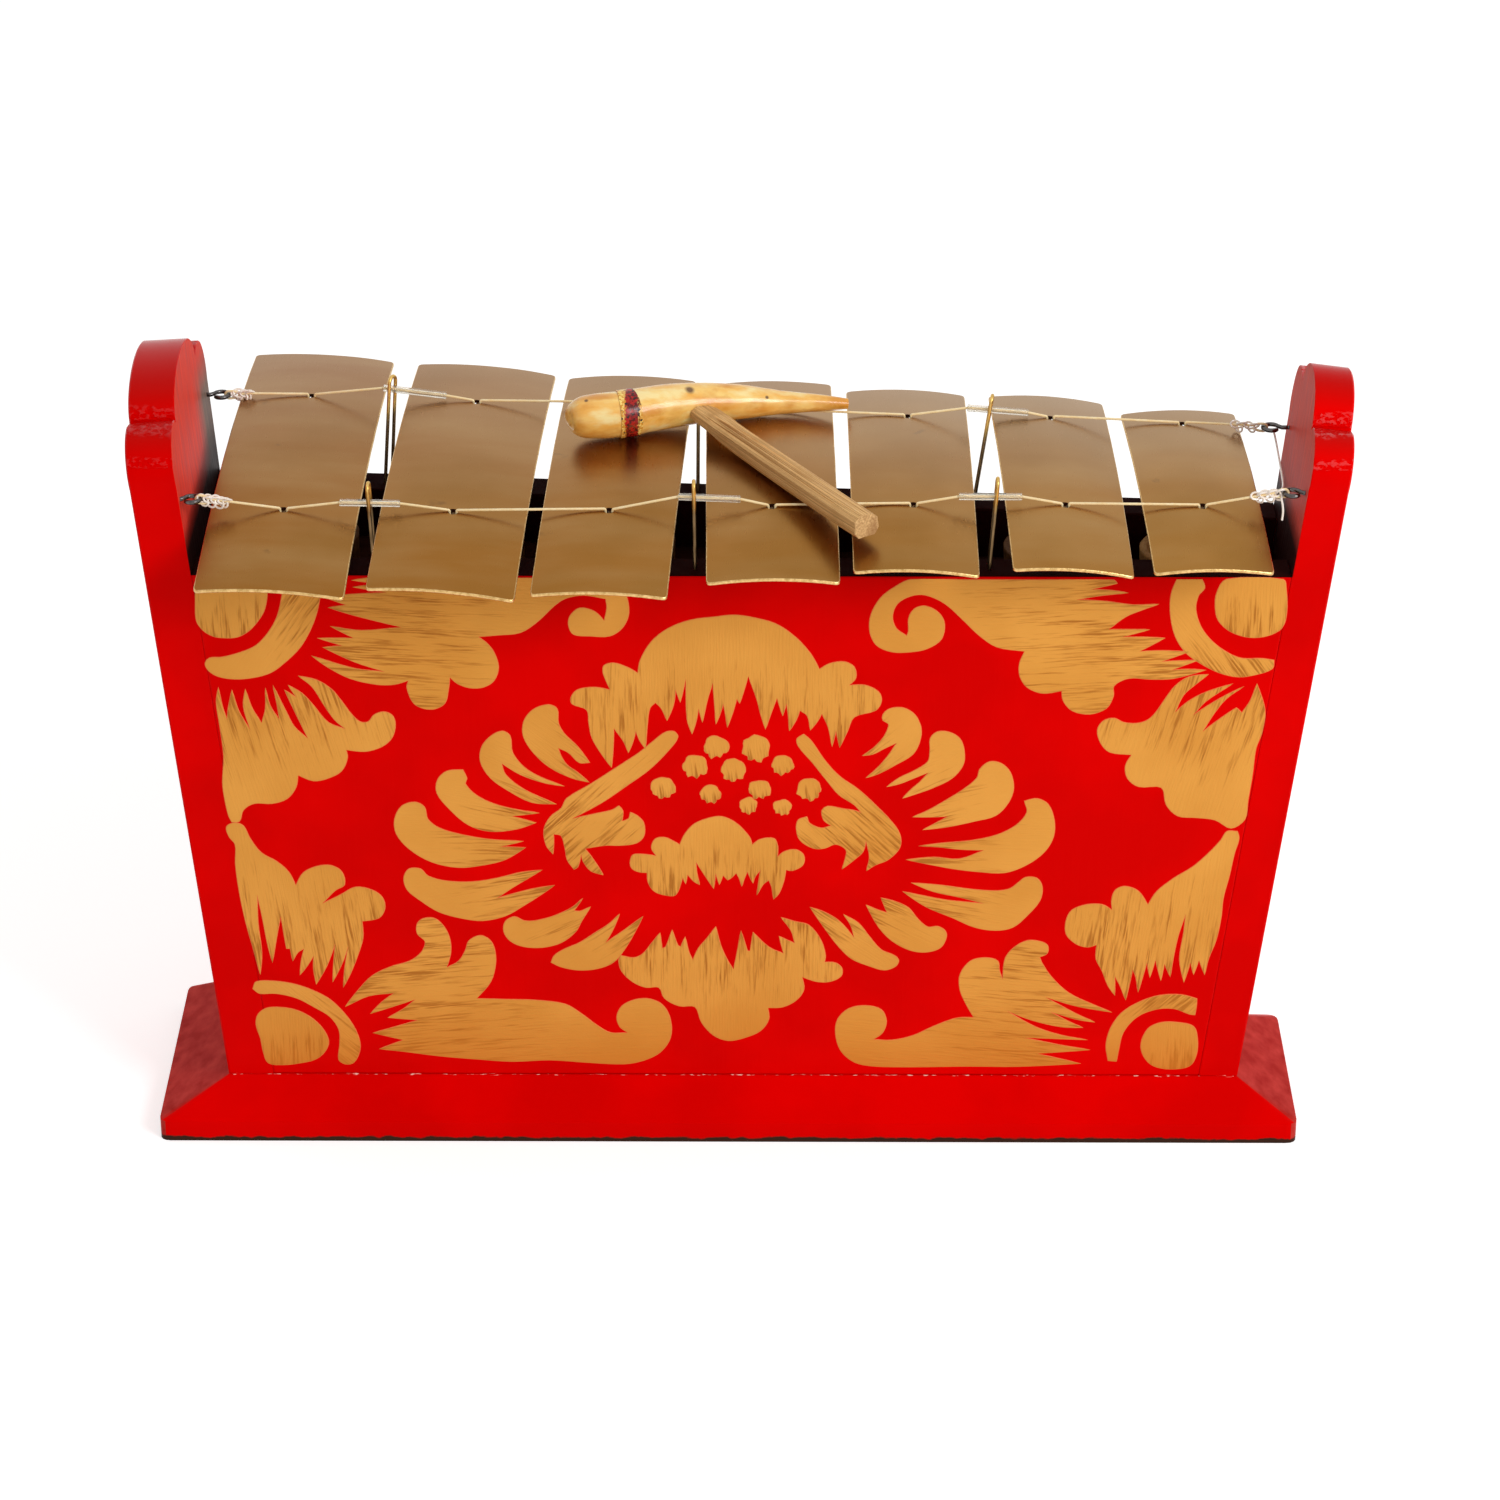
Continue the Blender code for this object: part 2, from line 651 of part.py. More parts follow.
def resonator_tube(index, parent):
    mouth, foot, low = TUBES[index]
    x, y = tube_place(index)
    high = TUBE_MOUTH - low
    rings = [
        circle(foot / 2, 0.0),
        circle(mouth / 2, high),
        circle(mouth / 2 - TUBE_WALL, high),
        circle(foot / 2 - TUBE_WALL, TUBE_FLOOR),
    ]
    kind = ((0.60, 0.42, 0.22), 0, 0.6)
    name = f"resonator_tube_{index + 1}"
    return node(name, *rings_mesh(rings), kind, parent, (x, y, low), True)


def tube_radius(index, z):
    mouth, foot, low = TUBES[index]
    return (foot + (mouth - foot) * (z - low) / (TUBE_MOUTH - low)) / 2


def resonator_rack(parent):
    low = RACK_TOP - RACK_THICK
    made = slab(
        "resonator_rack",
        lambda x, z: front_y(z, PANEL_THICK + SEAT_GAP),
        lambda x, z: back_y(x, z, PANEL_THICK + SEAT_GAP),
        low,
        RACK_TOP,
        ((0.40, 0.25, 0.14), 0, 0.7),
        parent,
    )
    points, faces = [], []
    for index in range(7):
        x, y = tube_place(index)
        radius = tube_radius(index, RACK_TOP) + 0.00025
        rings = [circle(radius, low - 0.005), circle(radius, RACK_TOP + 0.005)]
        moved = [[(px + x, py + y, pz) for px, py, pz in ring] for ring in rings]
        more, ring_faces = rings_mesh(moved)
        faces += [tuple(index + len(points) for index in face) for face in ring_faces]
        points += more
    cut(made, node("rack_holes", points, faces, None, parent), "tube_holes")
    return made


def head_rings(grow, stations, origin):
    points = [Vector(station[:3]) - origin for station in stations]
    return sweep(points, [station[3] + grow for station in stations], 16)


def mallet(parent):
    origin = Vector(HEAD[5][:3])
    wood = ((0.80, 0.45, 0.16), 0, 0.3)
    turned = rings_mesh(head_rings(0, HEAD, origin))
    node("mallet_head", *turned, wood, parent, origin, True)
    first, last = BAND
    outer = head_rings(0.0001 + BAND_THICK, HEAD, origin)[first:last]
    inside = head_rings(0.0001, HEAD, origin)[first:last]
    points, faces = closed_loop(outer + list(reversed(inside)))
    node("mallet_band", points, faces, ((0.80, 0.45, 0.08), 0.6, 0.35), parent, origin, True)
    start, end = Vector(HANDLE[0][:3]), Vector(HANDLE[-1][:3])
    along = (end - start).normalized()
    wide = along.cross(Vector((0, 0, 1))).normalized()
    profile = (
        (-0.50, -0.72), (-0.34, -1.0), (0.34, -1.0), (0.50, -0.74),
        (0.50, -0.26), (0.26, 0.0), (-0.14, -0.02), (-0.44, -0.24),
    )
    rings = []
    for x, y, z, width, height in HANDLE:
        here = Vector((x, y, z)) - start
        rings.append([here + wide * u * width + Vector((0, 0, v * height)) for u, v in profile])
    handle = node("mallet_handle", *rings_mesh(rings), ((0.38, 0.22, 0.11), 0, 0.7), parent, start)
    soften(handle, 0.0008, 1)
    socket = rings_mesh(head_rings(0.0002, HEAD, origin))
    cut(handle, node("head_socket", *socket, None, parent, origin), "seat_on_head")


def build():
    clear_scene()
    root = bpy.data.objects.new("case_frame", None)
    bpy.context.scene.collection.objects.link(root)
    plinth(root)
    red = ((0.62, 0.02, 0.02), 0, 0.25)
    foot = PLINTH_TOP + SEAT_GAP
    front = slab(
        "front_panel",
        lambda x, z: front_y(z),
        lambda x, z: front_y(z, PANEL_THICK),
        foot,
        FRONT_TOP,
        red,
        root,
    )
    back = slab(
        "back_panel",
        lambda x, z: back_y(x, z, PANEL_THICK),
        lambda x, z: back_y(x, z),
        foot,
        BACK_TOP,
        red,
        root,
    )
    left = end_board("left_end_board", left_x, LEFT_THICK, LEFT_LEAN, LEFT_LOBES, root)
    right = end_board("right_end_board", right_x, RIGHT_THICK, RIGHT_LEAN, RIGHT_LOBES, root)
    for board in (front, back, left, right):
        soften(board, 0.0010, 2)
    cut(front, post_holes("front_drillings", FRONT_POSTS, FRONT_TOP, root), "post_holes")
    cut(back, post_holes("back_drillings", BACK_POSTS, BACK_TOP, root), "post_holes")
    lefts = [centre for centre in EYES.values() if centre[0] < 0]
    rights = [centre for centre in EYES.values() if centre[0] > 0]
    cut(left, eye_holes("left_drillings", lefts, root), "eye_holes")
    cut(right, eye_holes("right_drillings", rights, root), "eye_holes")
    resonator_rack(root)
    for index in range(7):
        resonator_tube(index, root)
        key_obj = key(index, root)
        peg(index, 0, key_obj)
        peg(index, 1, key_obj)
    for row, specs, z_base in (("front", FRONT_POSTS, FRONT_TOP), ("back", BACK_POSTS, BACK_TOP)):
        for k, spec in enumerate(specs):
            post(f"{row}_post_{k + 1}", spec, z_base, root)
            sleeve(f"{row}_sleeve_{k + 1}", spec, z_base, root)
    for name, centre in EYES.items():
        screw_eye(name, centre, root)
    for row, end, specs, z_base in (
        ("front", 0, FRONT_POSTS, FRONT_TOP),
        ("back", 1, BACK_POSTS, BACK_TOP),
    ):
        left_eye, right_eye = EYES[f"{row}_left_eye"], EYES[f"{row}_right_eye"]
        cord(f"{row}_cord", end, specs, z_base, left_eye, right_eye, root)
    mallet(root)
    bpy.context.view_layer.update()
    corners = [
        obj.matrix_world @ vertex.co
        for obj in bpy.data.objects
        if obj.type == "MESH" and not obj.hide_render
        for vertex in obj.data.vertices
    ]
    for axis in (0, 1):
        values = [corner[axis] for corner in corners]
        root.location[axis] = -(min(values) + max(values)) / 2


build()
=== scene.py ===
import math

import bmesh
import bpy
from mathutils import Matrix, Vector, noise


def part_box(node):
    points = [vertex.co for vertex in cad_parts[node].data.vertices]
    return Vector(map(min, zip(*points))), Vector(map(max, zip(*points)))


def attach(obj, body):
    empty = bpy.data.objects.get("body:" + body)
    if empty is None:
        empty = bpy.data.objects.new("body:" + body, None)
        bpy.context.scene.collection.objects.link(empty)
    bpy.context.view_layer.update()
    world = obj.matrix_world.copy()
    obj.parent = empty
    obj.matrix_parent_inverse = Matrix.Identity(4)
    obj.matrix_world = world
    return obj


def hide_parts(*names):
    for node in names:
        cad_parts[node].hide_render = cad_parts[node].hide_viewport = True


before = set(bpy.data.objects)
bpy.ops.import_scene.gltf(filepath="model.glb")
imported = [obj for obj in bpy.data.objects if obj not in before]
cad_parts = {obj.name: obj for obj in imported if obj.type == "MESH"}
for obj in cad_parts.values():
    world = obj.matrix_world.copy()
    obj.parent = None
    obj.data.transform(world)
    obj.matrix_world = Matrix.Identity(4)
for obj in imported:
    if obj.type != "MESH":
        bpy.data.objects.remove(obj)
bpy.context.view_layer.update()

# The table and the light.
# A pale floor, a large soft lamp at the front right, a weak one overhead and a plain white room,
# seen from in front and above, as a player's audience looks down on the instrument.
PLINTH_WIDTH = 0.620
PLINTH_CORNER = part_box("base_plinth")[0]
DRAWING = Vector((PLINTH_CORNER.x + PLINTH_WIDTH / 2, PLINTH_CORNER.y, 0.0))


def at(x, y, z):
    """A point measured from the middle of the plinth's front edge."""
    return DRAWING + Vector((x, y, z))


def add(tree, kind, values=None, **settings):
    """A node whose inputs are set, or linked where the value is another node's output."""
    made = tree.nodes.new(kind)
    for key, value in settings.items():
        setattr(made, key, value)
    for key, value in (values or {}).items():
        if isinstance(value, bpy.types.NodeSocket):
            tree.links.new(value, made.inputs[key])
        else:
            made.inputs[key].default_value = value
    return made


def calc(tree, operation, *values, clamp=False):
    """The result of a math node."""
    return add(tree, "ShaderNodeMath", dict(enumerate(values)), operation=operation,
               use_clamp=clamp).outputs[0]


def sheen_path(tree):
    """One where the ray comes from the camera or from a mirror or clear surface."""
    path = add(tree, "ShaderNodeLightPath").outputs
    seen = calc(tree, "MAXIMUM", path["Is Camera Ray"], path["Is Glossy Ray"])
    return calc(tree, "MAXIMUM", seen, path["Is Transmission Ray"])


FOCAL_LENGTH = 112.33
VIEW_PLACE = (0.0219, -2.1723, 1.3595)
VIEW_TILT = math.radians(62.7477)
VIEW_TURN = math.radians(0.2619)
ROOM_GLOW = 0.50
FLOOR_GLOW = 0.52
FLOOR_GREY = (0.90, 0.90, 0.90, 1)
WHITE = (1, 1, 1, 1)

scene = bpy.context.scene
scene.view_settings.view_transform = "Standard"
lens = bpy.data.cameras.new("view")
lens.sensor_width = 36
lens.lens = FOCAL_LENGTH
view = bpy.data.objects.new("view", lens)
view.location = at(*VIEW_PLACE)
view.rotation_euler = (VIEW_TILT, 0, VIEW_TURN)
scene.collection.objects.link(view)
scene.camera = view

room = bpy.data.worlds.new("white_room")
room.use_nodes = True
scene.world = room
tree = room.node_tree
tree.nodes.clear()
shown = add(tree, "ShaderNodeBackground", {"Color": WHITE, "Strength": 1.0})
soft = add(tree, "ShaderNodeBackground", {"Color": (1.0, 0.99, 0.97, 1), "Strength": ROOM_GLOW})
both = add(tree, "ShaderNodeMixShader", {0: sheen_path(tree), 1: soft.outputs[0], 2: shown.outputs[0]})
add(tree, "ShaderNodeOutputWorld", {"Surface": both.outputs[0]})


def lamp(name, place, aim, size, watts):
    """A square lamp that shines from its place towards its aim."""
    light = bpy.data.lights.new(name, "AREA")
    light.shape = "SQUARE"
    light.size = size
    light.energy = watts
    made = bpy.data.objects.new(name, light)
    made.location = place
    made.rotation_euler = (Vector(aim) - Vector(place)).to_track_quat("-Z", "Y").to_euler()
    scene.collection.objects.link(made)
    return made


lamp("soft_lamp", (1.7, -1.8, 1.8), (0.05, 0, 0.2), 1.1, 40)
lamp("top_lamp", (-0.2, 0.3, 2.4), (0, 0, 0.3), 1.2, 5).visible_glossy = False

FLOOR_HALF = 12.0
mesh = bpy.data.meshes.new("floor")
mesh.from_pydata([(-FLOOR_HALF, -FLOOR_HALF, 0), (FLOOR_HALF, -FLOOR_HALF, 0),
                  (FLOOR_HALF, FLOOR_HALF, 0), (-FLOOR_HALF, FLOOR_HALF, 0)], [], [(0, 1, 2, 3)])
floor = bpy.data.objects.new("floor", mesh)
scene.collection.objects.link(floor)
paper = bpy.data.materials.new("white_paper")
paper.use_nodes = True
tree = paper.node_tree
tree.nodes.clear()
matt = add(tree, "ShaderNodeBsdfDiffuse", {"Color": FLOOR_GREY})
lift = add(tree, "ShaderNodeEmission", {"Color": WHITE, "Strength": FLOOR_GLOW})
dark = add(tree, "ShaderNodeEmission", {"Color": (0, 0, 0, 1), "Strength": 0.0})
glow = add(tree, "ShaderNodeMixShader", {0: sheen_path(tree), 1: dark.outputs[0], 2: lift.outputs[0]})
total = add(tree, "ShaderNodeAddShader", {0: matt.outputs[0], 1: glow.outputs[0]})
add(tree, "ShaderNodeOutputMaterial", {"Surface": total.outputs[0]})
mesh.materials.append(paper)


# The base plinth.
# One softwood board on the ground, its four top edges planed to wide slopes. It is brushed
# with red gloss paint. Its lowest few millimetres are dark, partly bare wood and partly
# painted shadow where it meets the floor, and its ends are painted darker as shade, with
# paler mottles.
def mask_group(name, outputs):
    """A new shader group of masks, with its inputs, the stretched place and its outputs."""
    made = bpy.data.node_groups.new(name, "ShaderNodeTree")
    for key, kind, value in (("Vector", "NodeSocketVector", (0, 0, 0)),
                             ("Stretch", "NodeSocketVector", (1, 1, 1)),
                             ("Contrast", "NodeSocketFloat", 1.0)):
        made.interface.new_socket(key, in_out="INPUT", socket_type=kind).default_value = value
    for key in outputs:
        made.interface.new_socket(key, in_out="OUTPUT", socket_type="NodeSocketFloat")
    given = made.nodes.new("NodeGroupInput").outputs
    place = add(made, "ShaderNodeVectorMath", {0: given["Vector"], 1: given["Stretch"]},
                operation="MULTIPLY").outputs[0]
    return made, given, place, made.nodes.new("NodeGroupOutput").inputs


def use(tree, shared, where, stretch, contrast):
    """The masks that a shared group makes of a place."""
    values = {"Vector": where, "Stretch": stretch, "Contrast": contrast}
    return add(tree, "ShaderNodeGroup", values, node_tree=shared).outputs


def cloudy(tree, where, scale, detail, distortion=0.0):
    """Soft irregular clouds."""
    values = {"Vector": where, "Scale": scale, "Detail": detail, "Distortion": distortion}
    return add(tree, "ShaderNodeTexNoise", values).outputs[0]


def bolder(tree, value, contrast):
    """A mask drawn away from its middle."""
    return calc(tree, "MULTIPLY_ADD", calc(tree, "SUBTRACT", value, 0.5), contrast, 0.5, clamp=True)


def blend(tree, share, first, second):
    """Two colours mixed by a mask."""
    made = add(tree, "ShaderNodeMix", {0: share, 6: first, 7: second}, data_type="RGBA")
    return made.outputs[2]


def span(tree, value, low, high, to_low=0.0, to_high=1.0):
    """A value carried from one range to another, and held at its ends."""
    values = {0: value, 1: low, 2: high, 3: to_low, 4: to_high}
    return add(tree, "ShaderNodeMapRange", values).outputs[0]


def finish(name, **constants):
    """A new material, its node tree and its Principled shader."""
    made = bpy.data.materials.new(name)
    made.use_nodes = True
    shader = made.node_tree.nodes["Principled BSDF"]
    for key, value in constants.items():
        shader.inputs[key.replace("_", " ")].default_value = value
    return made, made.node_tree, shader


def feed(tree, shader, color, roughness, height, depth, strength):
    """Links a material's colour, roughness and small relief to its shader."""
    bump = add(tree, "ShaderNodeBump", {"Height": height, "Distance": depth, "Strength": strength})
    for value, key in ((color, "Base Color"), (roughness, "Roughness"), (bump.outputs[0], "Normal")):
        tree.links.new(value, shader.inputs[key])


strokes_group, given, place, result = mask_group("brush_strokes", ("Strokes", "Patches"))
hairs = bolder(strokes_group, cloudy(strokes_group, place, 1.0, 4.0), given["Contrast"])
strokes_group.links.new(hairs, result["Strokes"])
strokes_group.links.new(cloudy(strokes_group, given["Vector"], 14.0, 3.0), result["Patches"])

PAINT = (0.82, 0.0, 0.0, 1)
PAINT_THIN = (0.72, 0.0, 0.0, 1)
END_SHADE = (0.42, 0.012, 0.008, 1)
PAINT_GLOSS = (1.0, 0.10, 0.07, 1)
BARE_AND_SHADOWED_FOOT = (0.045, 0.022, 0.014, 1)
INSIDE_SHADE = (0.020, 0.0035, 0.003, 1)
END_PALE_MOTTLE = (0.60, 0.045, 0.036, 1)
DARK_FOOT_HEIGHT = 0.0034
RAGGED = 0.0022
FOOT_FADE = 0.0010


def facing(tree, axis, low, high):
    """A mask of the surfaces that face along an axis."""
    normal = add(tree, "ShaderNodeSeparateXYZ", {0: add(tree, "ShaderNodeNewGeometry").outputs["Normal"]})
    return span(tree, normal.outputs[axis], low, high)


def places(tree):
    """The place on the object, whole and as its three parts."""
    coordinates = add(tree, "ShaderNodeTexCoord").outputs["Object"]
    return coordinates, add(tree, "ShaderNodeSeparateXYZ", {0: coordinates}).outputs


def patchy_red(tree, marks):
    """Red paint that lies thinner in some places."""
    return blend(tree, span(tree, marks["Patches"], 0.40, 0.62), PAINT_THIN, PAINT)


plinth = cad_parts["base_plinth"]
made, tree, shader = finish("plinth_paint", Specular_IOR_Level=0.05, Specular_Tint=PAINT_GLOSS)
where, apart = places(tree)
marks = use(tree, strokes_group, where, (9, 160, 160), 1.5)
mottle = use(tree, strokes_group, where, (130, 90, 130), 2.2)
# the ends, which face sideways, are painted darker as shade, with paler mottles
ends = calc(tree, "MAXIMUM", facing(tree, 0, -0.20, -0.34), facing(tree, 0, 0.20, 0.34))
shaded_ends = blend(tree, span(tree, mottle["Strokes"], 0.1, 0.9), END_SHADE, END_PALE_MOTTLE)
color = blend(tree, ends, patchy_red(tree, marks), shaded_ends)
# the lowest few millimetres are dark: partly bare wood, partly painted shadow where the plinth meets the
# floor
height = calc(tree, "MULTIPLY_ADD", mottle["Strokes"], RAGGED, apart[2])
color = blend(tree, span(tree, height, DARK_FOOT_HEIGHT, DARK_FOOT_HEIGHT + FOOT_FADE), BARE_AND_SHADOWED_FOOT, color)
feed(tree, shader, color, span(tree, ends, 0.0, 1.0, 0.24, 0.50), marks["Strokes"], 0.0003, 0.25)
plinth.material_slots[0].material = made


# The case: front and back panels.
# Two boards glued between the end boards, leaning out from the foot line. The outsides are
# gloss red; the insides and top edges, in the shade of the case and keys, are painted near
# black as shade. A bead of paint has gathered along the foot of the front.
PLINTH_TOP = 0.0277
FRONT_FOOT_Y = 0.0248
FRONT_LEAN = math.radians(2.95)
BACK_FOOT_Y = 0.1123
BACK_SKEW = -0.075
BACK_LEAN = math.radians(3.06)
FRONT_TOP = 0.3366
BACK_TOP = 0.3351


def red_paint(name, stretch, rough, inner=None, strength=0.25):
    """Red gloss brushed on wood.

    inner is the axis and limits of the inside face; it and the top edge are painted near black as shade.
    """
    made, tree, shader = finish(name, Specular_IOR_Level=0.07, Specular_Tint=PAINT_GLOSS)
    marks = use(tree, strokes_group, places(tree)[0], stretch, 1.6)
    color = patchy_red(tree, marks)
    gloss = span(tree, marks["Strokes"], 0.2, 0.8, rough - 0.05, rough + 0.09)
    if inner is not None:
        # the inside face and the top edge get painted shade, near black
        shaded = calc(tree, "MAXIMUM", facing(tree, *inner), facing(tree, 2, 0.5, 0.8))
        color = blend(tree, shaded, color, INSIDE_SHADE)
        gloss = calc(tree, "MULTIPLY_ADD", shaded, 0.6, gloss, clamp=True)
    feed(tree, shader, color, gloss, marks["Strokes"], 0.0003, strength)
    return made


def front_y(z):
    """Where the front panel's outside is at a height."""
    return FRONT_FOOT_Y - (z - PLINTH_TOP) * math.tan(FRONT_LEAN)


def back_y(x, z):
    """Where the back panel's outside is; the panel stands slightly askew."""
    return BACK_FOOT_Y + BACK_SKEW * x + (z - PLINTH_TOP) * math.tan(BACK_LEAN)


def piece(name, points, faces, material, body="case", smooth=35, slot=None, nodes=()):
    """A mesh object that rides with a body and may stand for some of the solid model's nodes."""
    mesh = bpy.data.meshes.new(name)
    mesh.from_pydata([tuple(point) for point in points], [], faces)
    shape = bmesh.new()
    shape.from_mesh(mesh)
    bmesh.ops.recalc_face_normals(shape, faces=shape.faces)
    shape.to_mesh(mesh)
    shape.free()
    mesh.shade_smooth()
    mesh.set_sharp_from_angle(angle=math.radians(smooth))
    mesh.materials.append(material)
    made = bpy.data.objects.new(name, mesh)
    scene.collection.objects.link(made)
    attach(made, body)
    if nodes:
        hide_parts(*nodes)
    return made


def skin(rings, ends=True):
    """Points and faces of a skin through rings that have the same number of points."""
    count = len(rings[0])
    points = [point for ring in rings for point in ring]
    faces = []
    for level in range(len(rings) - 1):
        for i in range(count):
            a, j = level * count, (i + 1) % count
            faces.append((a + i, a + j, a + count + j, a + count + i))
    if ends:
        faces.append(tuple(reversed(range(count))))
        faces.append(tuple((len(rings) - 1) * count + i for i in range(count)))
    return points, faces


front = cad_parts["front_panel"]
front.material_slots[0].material = red_paint("front_paint", (120, 120, 8), 0.26, (1, 0.3, 0.6), 0.12)
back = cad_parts["back_panel"]
back.material_slots[0].material = red_paint("back_paint", (120, 120, 8), 0.26, (1, -0.3, -0.6), 0.12)

BEAD_R = 0.00045
BEAD_LEFT = -0.2715
BEAD_LENGTH = 0.548
bead = []
for k in range(241):
    x = BEAD_LEFT + BEAD_LENGTH * k / 240
    broad, fine = noise.noise(Vector((x * 90, 0, 0))), noise.noise(Vector((x * 400, 3, 0)))
    swell = max(0.15, 0.55 + 1.5 * broad + 0.5 * fine)
    spot = at(x, FRONT_FOOT_Y - 0.0002, PLINTH_TOP + 0.00005)
    bead.append([spot + Vector((0, -math.cos(t), math.sin(t))) * BEAD_R * swell
                 for t in (math.pi * (n / 6 - 0.25) for n in range(9))])
# It glints here and there, and less and less towards the right.
made, tree, shader = finish("wet_bead", Specular_IOR_Level=0.10, Specular_Tint=PAINT_GLOSS,
                            Coat_Roughness=0.15)
where, apart = places(tree)
marks = use(tree, strokes_group, where, (260, 900, 900), 2.0)["Strokes"]
shine = calc(tree, "MULTIPLY", span(tree, marks, 0.50, 0.66), span(tree, apart[0], 0.16, -0.02))
tree.links.new(shine, shader.inputs["Coat Weight"])
# its pale pink specks are painted highlights
color = blend(tree, span(tree, marks, 0.60, 0.75), PAINT_THIN, (1.0, 0.62, 0.52, 1))
feed(tree, shader, color, span(tree, marks, 0.1, 0.9, 0.20, 0.40), marks, 0.0003, 0.5)
piece("foot_paint_bead", *skin(bead), made)


# The end boards.
# Two thick boards with a three-lobed top, sawn by hand and painted the same red. They lean
# outwards and hold the panels between them; the brush went up and down their inner faces.
LEFT_FOOT_X = -0.2735
LEFT_LEAN = math.radians(4.91)
LEFT_THICK = 0.0240
RIGHT_FOOT_X = 0.2784
RIGHT_LEAN = math.radians(6.12)
RIGHT_THICK = 0.0205


def left_x(z, inset=0.0):
    """Where the left board's outside is at a height, or a plane as far in as the inset."""
    return LEFT_FOOT_X - (z - PLINTH_TOP) * math.tan(LEFT_LEAN) + inset / math.cos(LEFT_LEAN)


def right_x(z, inset=0.0):
    """The same for the right board."""
    return RIGHT_FOOT_X + (z - PLINTH_TOP) * math.tan(RIGHT_LEAN) - inset / math.cos(RIGHT_LEAN)


LOBE_START = 0.386
LOBE_BULGE = 0.0015
# front lobe, back lobe (notch from the edge, notch height, lobe top, share of the notch), middle top
LEFT_LOBES = ((0.0285, 0.4107, 0.4147, 0.70), (0.0282, 0.4107, 0.4136, 0.62), 0.4316)
RIGHT_LOBES = ((0.0240, 0.4098, 0.4134, 0.70), (0.0261, 0.4150, 0.4174, 0.50), 0.4325)
ARRIS = 0.0009
SEAM = 0.0003


def side_lobe(notch, notch_z, top, share):
    """Half of the outline of one outer lobe, from the board's edge (0) to its notch."""
    crest = share * notch
    low = LOBE_START + 0.008
    outline = [(0.0, LOBE_START), (-LOBE_BULGE * 0.8, LOBE_START + 0.004)]
    for k in range(15):
        t = math.pi / 2 * k / 14
        outline.append((crest - (crest + LOBE_BULGE) * math.cos(t), low + (top - low) * math.sin(t)))
    outline.append((crest + 0.6 * (notch - crest), top - 0.3 * (top - notch_z)))
    outline.append((notch, notch_z))
    return outline


def scallop(depth, front_lobe, back_lobe, middle_top):
    """Side view of a board's top, from the front edge (0) to the back edge (depth)."""
    outline = side_lobe(*front_lobe)
    first, last = front_lobe[0], depth - back_lobe[0]
    for k in range(1, 45):
        t = math.pi * k / 45
        along = (first + last) / 2 - (last - first) / 2 * math.cos(t)
        floor = front_lobe[1] + (back_lobe[1] - front_lobe[1]) * (1 - math.cos(t)) / 2
        outline.append((along, floor + (middle_top - floor) * math.sin(t) ** 0.9))
    return outline + [(depth - along, height) for along, height in reversed(side_lobe(*back_lobe))]


def board_rings(face_x, thick, lean, lobes):
    """Outlines of a leaning board from its outer to its inner face, with softened arrises."""
    rings = []
    foot = PLINTH_TOP + SEAM
    for inset, shrink in ((0.0, ARRIS), (ARRIS, 0.0), (thick - SEAM, 0.0), (thick, SEAM)):
        lower = (thick - inset) * math.sin(lean)
        depth = back_y(face_x(LOBE_START - lower, inset), LOBE_START) - front_y(LOBE_START)
        flat = [Vector((front_y(foot), foot))]
        flat += [Vector((front_y(LOBE_START) + along, z - lower)) for along, z in scallop(depth, *lobes)]
        flat.append(Vector((back_y(face_x(foot, inset), foot), foot)))
        ring = []
        for k, here in enumerate(flat):
            ahead = (flat[(k + 1) % len(flat)] - here).normalized() + (here - flat[k - 1]).normalized()
            inward = Vector((ahead.y, -ahead.x)).normalized() * shrink
            y, z = here + (inward if 0 < k < len(flat) - 1 else Vector((0, 0)))
            ring.append(at(face_x(z, inset), y, z))
        rings.append(ring)
    return rings


# The gloss glints in two bands, where the wet paint sagged below the lobes.
GLINTS = ((0.3975, 0.4035), (0.4105, 0.4190))
GLINT_FADE = 0.0012
TOP_SHADE = (0.56, 0.004, 0.003, 1)
made, tree, shader = finish("board_gloss", Specular_IOR_Level=0.06, Specular_Tint=PAINT_GLOSS,
                            Coat_Roughness=0.10)
where, apart = places(tree)
marks = use(tree, strokes_group, where, (60, 120, 14), 1.4)
sags = use(tree, strokes_group, where, (330, 330, 520), 2.0)["Strokes"]
# the upward-facing tops are painted darker red as shade
color = blend(tree, facing(tree, 2, 0.45, 0.95), patchy_red(tree, marks), TOP_SHADE)
bands = [calc(tree, "MULTIPLY", span(tree, apart[2], low, low + GLINT_FADE),
              span(tree, apart[2], high, high - GLINT_FADE)) for low, high in GLINTS]
bands = calc(tree, "ADD", *bands)
wet = calc(tree, "MULTIPLY", span(tree, sags, 0.50, 0.62), bands)
wet = calc(tree, "MULTIPLY", span(tree, apart[0], -0.1, 0.1, 0.35, 1.0), wet)
tree.links.new(wet, shader.inputs["Coat Weight"])
gloss = span(tree, marks["Strokes"], 0.1, 0.9, 0.14, 0.24)
feed(tree, shader, color, gloss, calc(tree, "MULTIPLY", sags, bands), 0.0009, 0.7)
BOARD_GLOSS = made


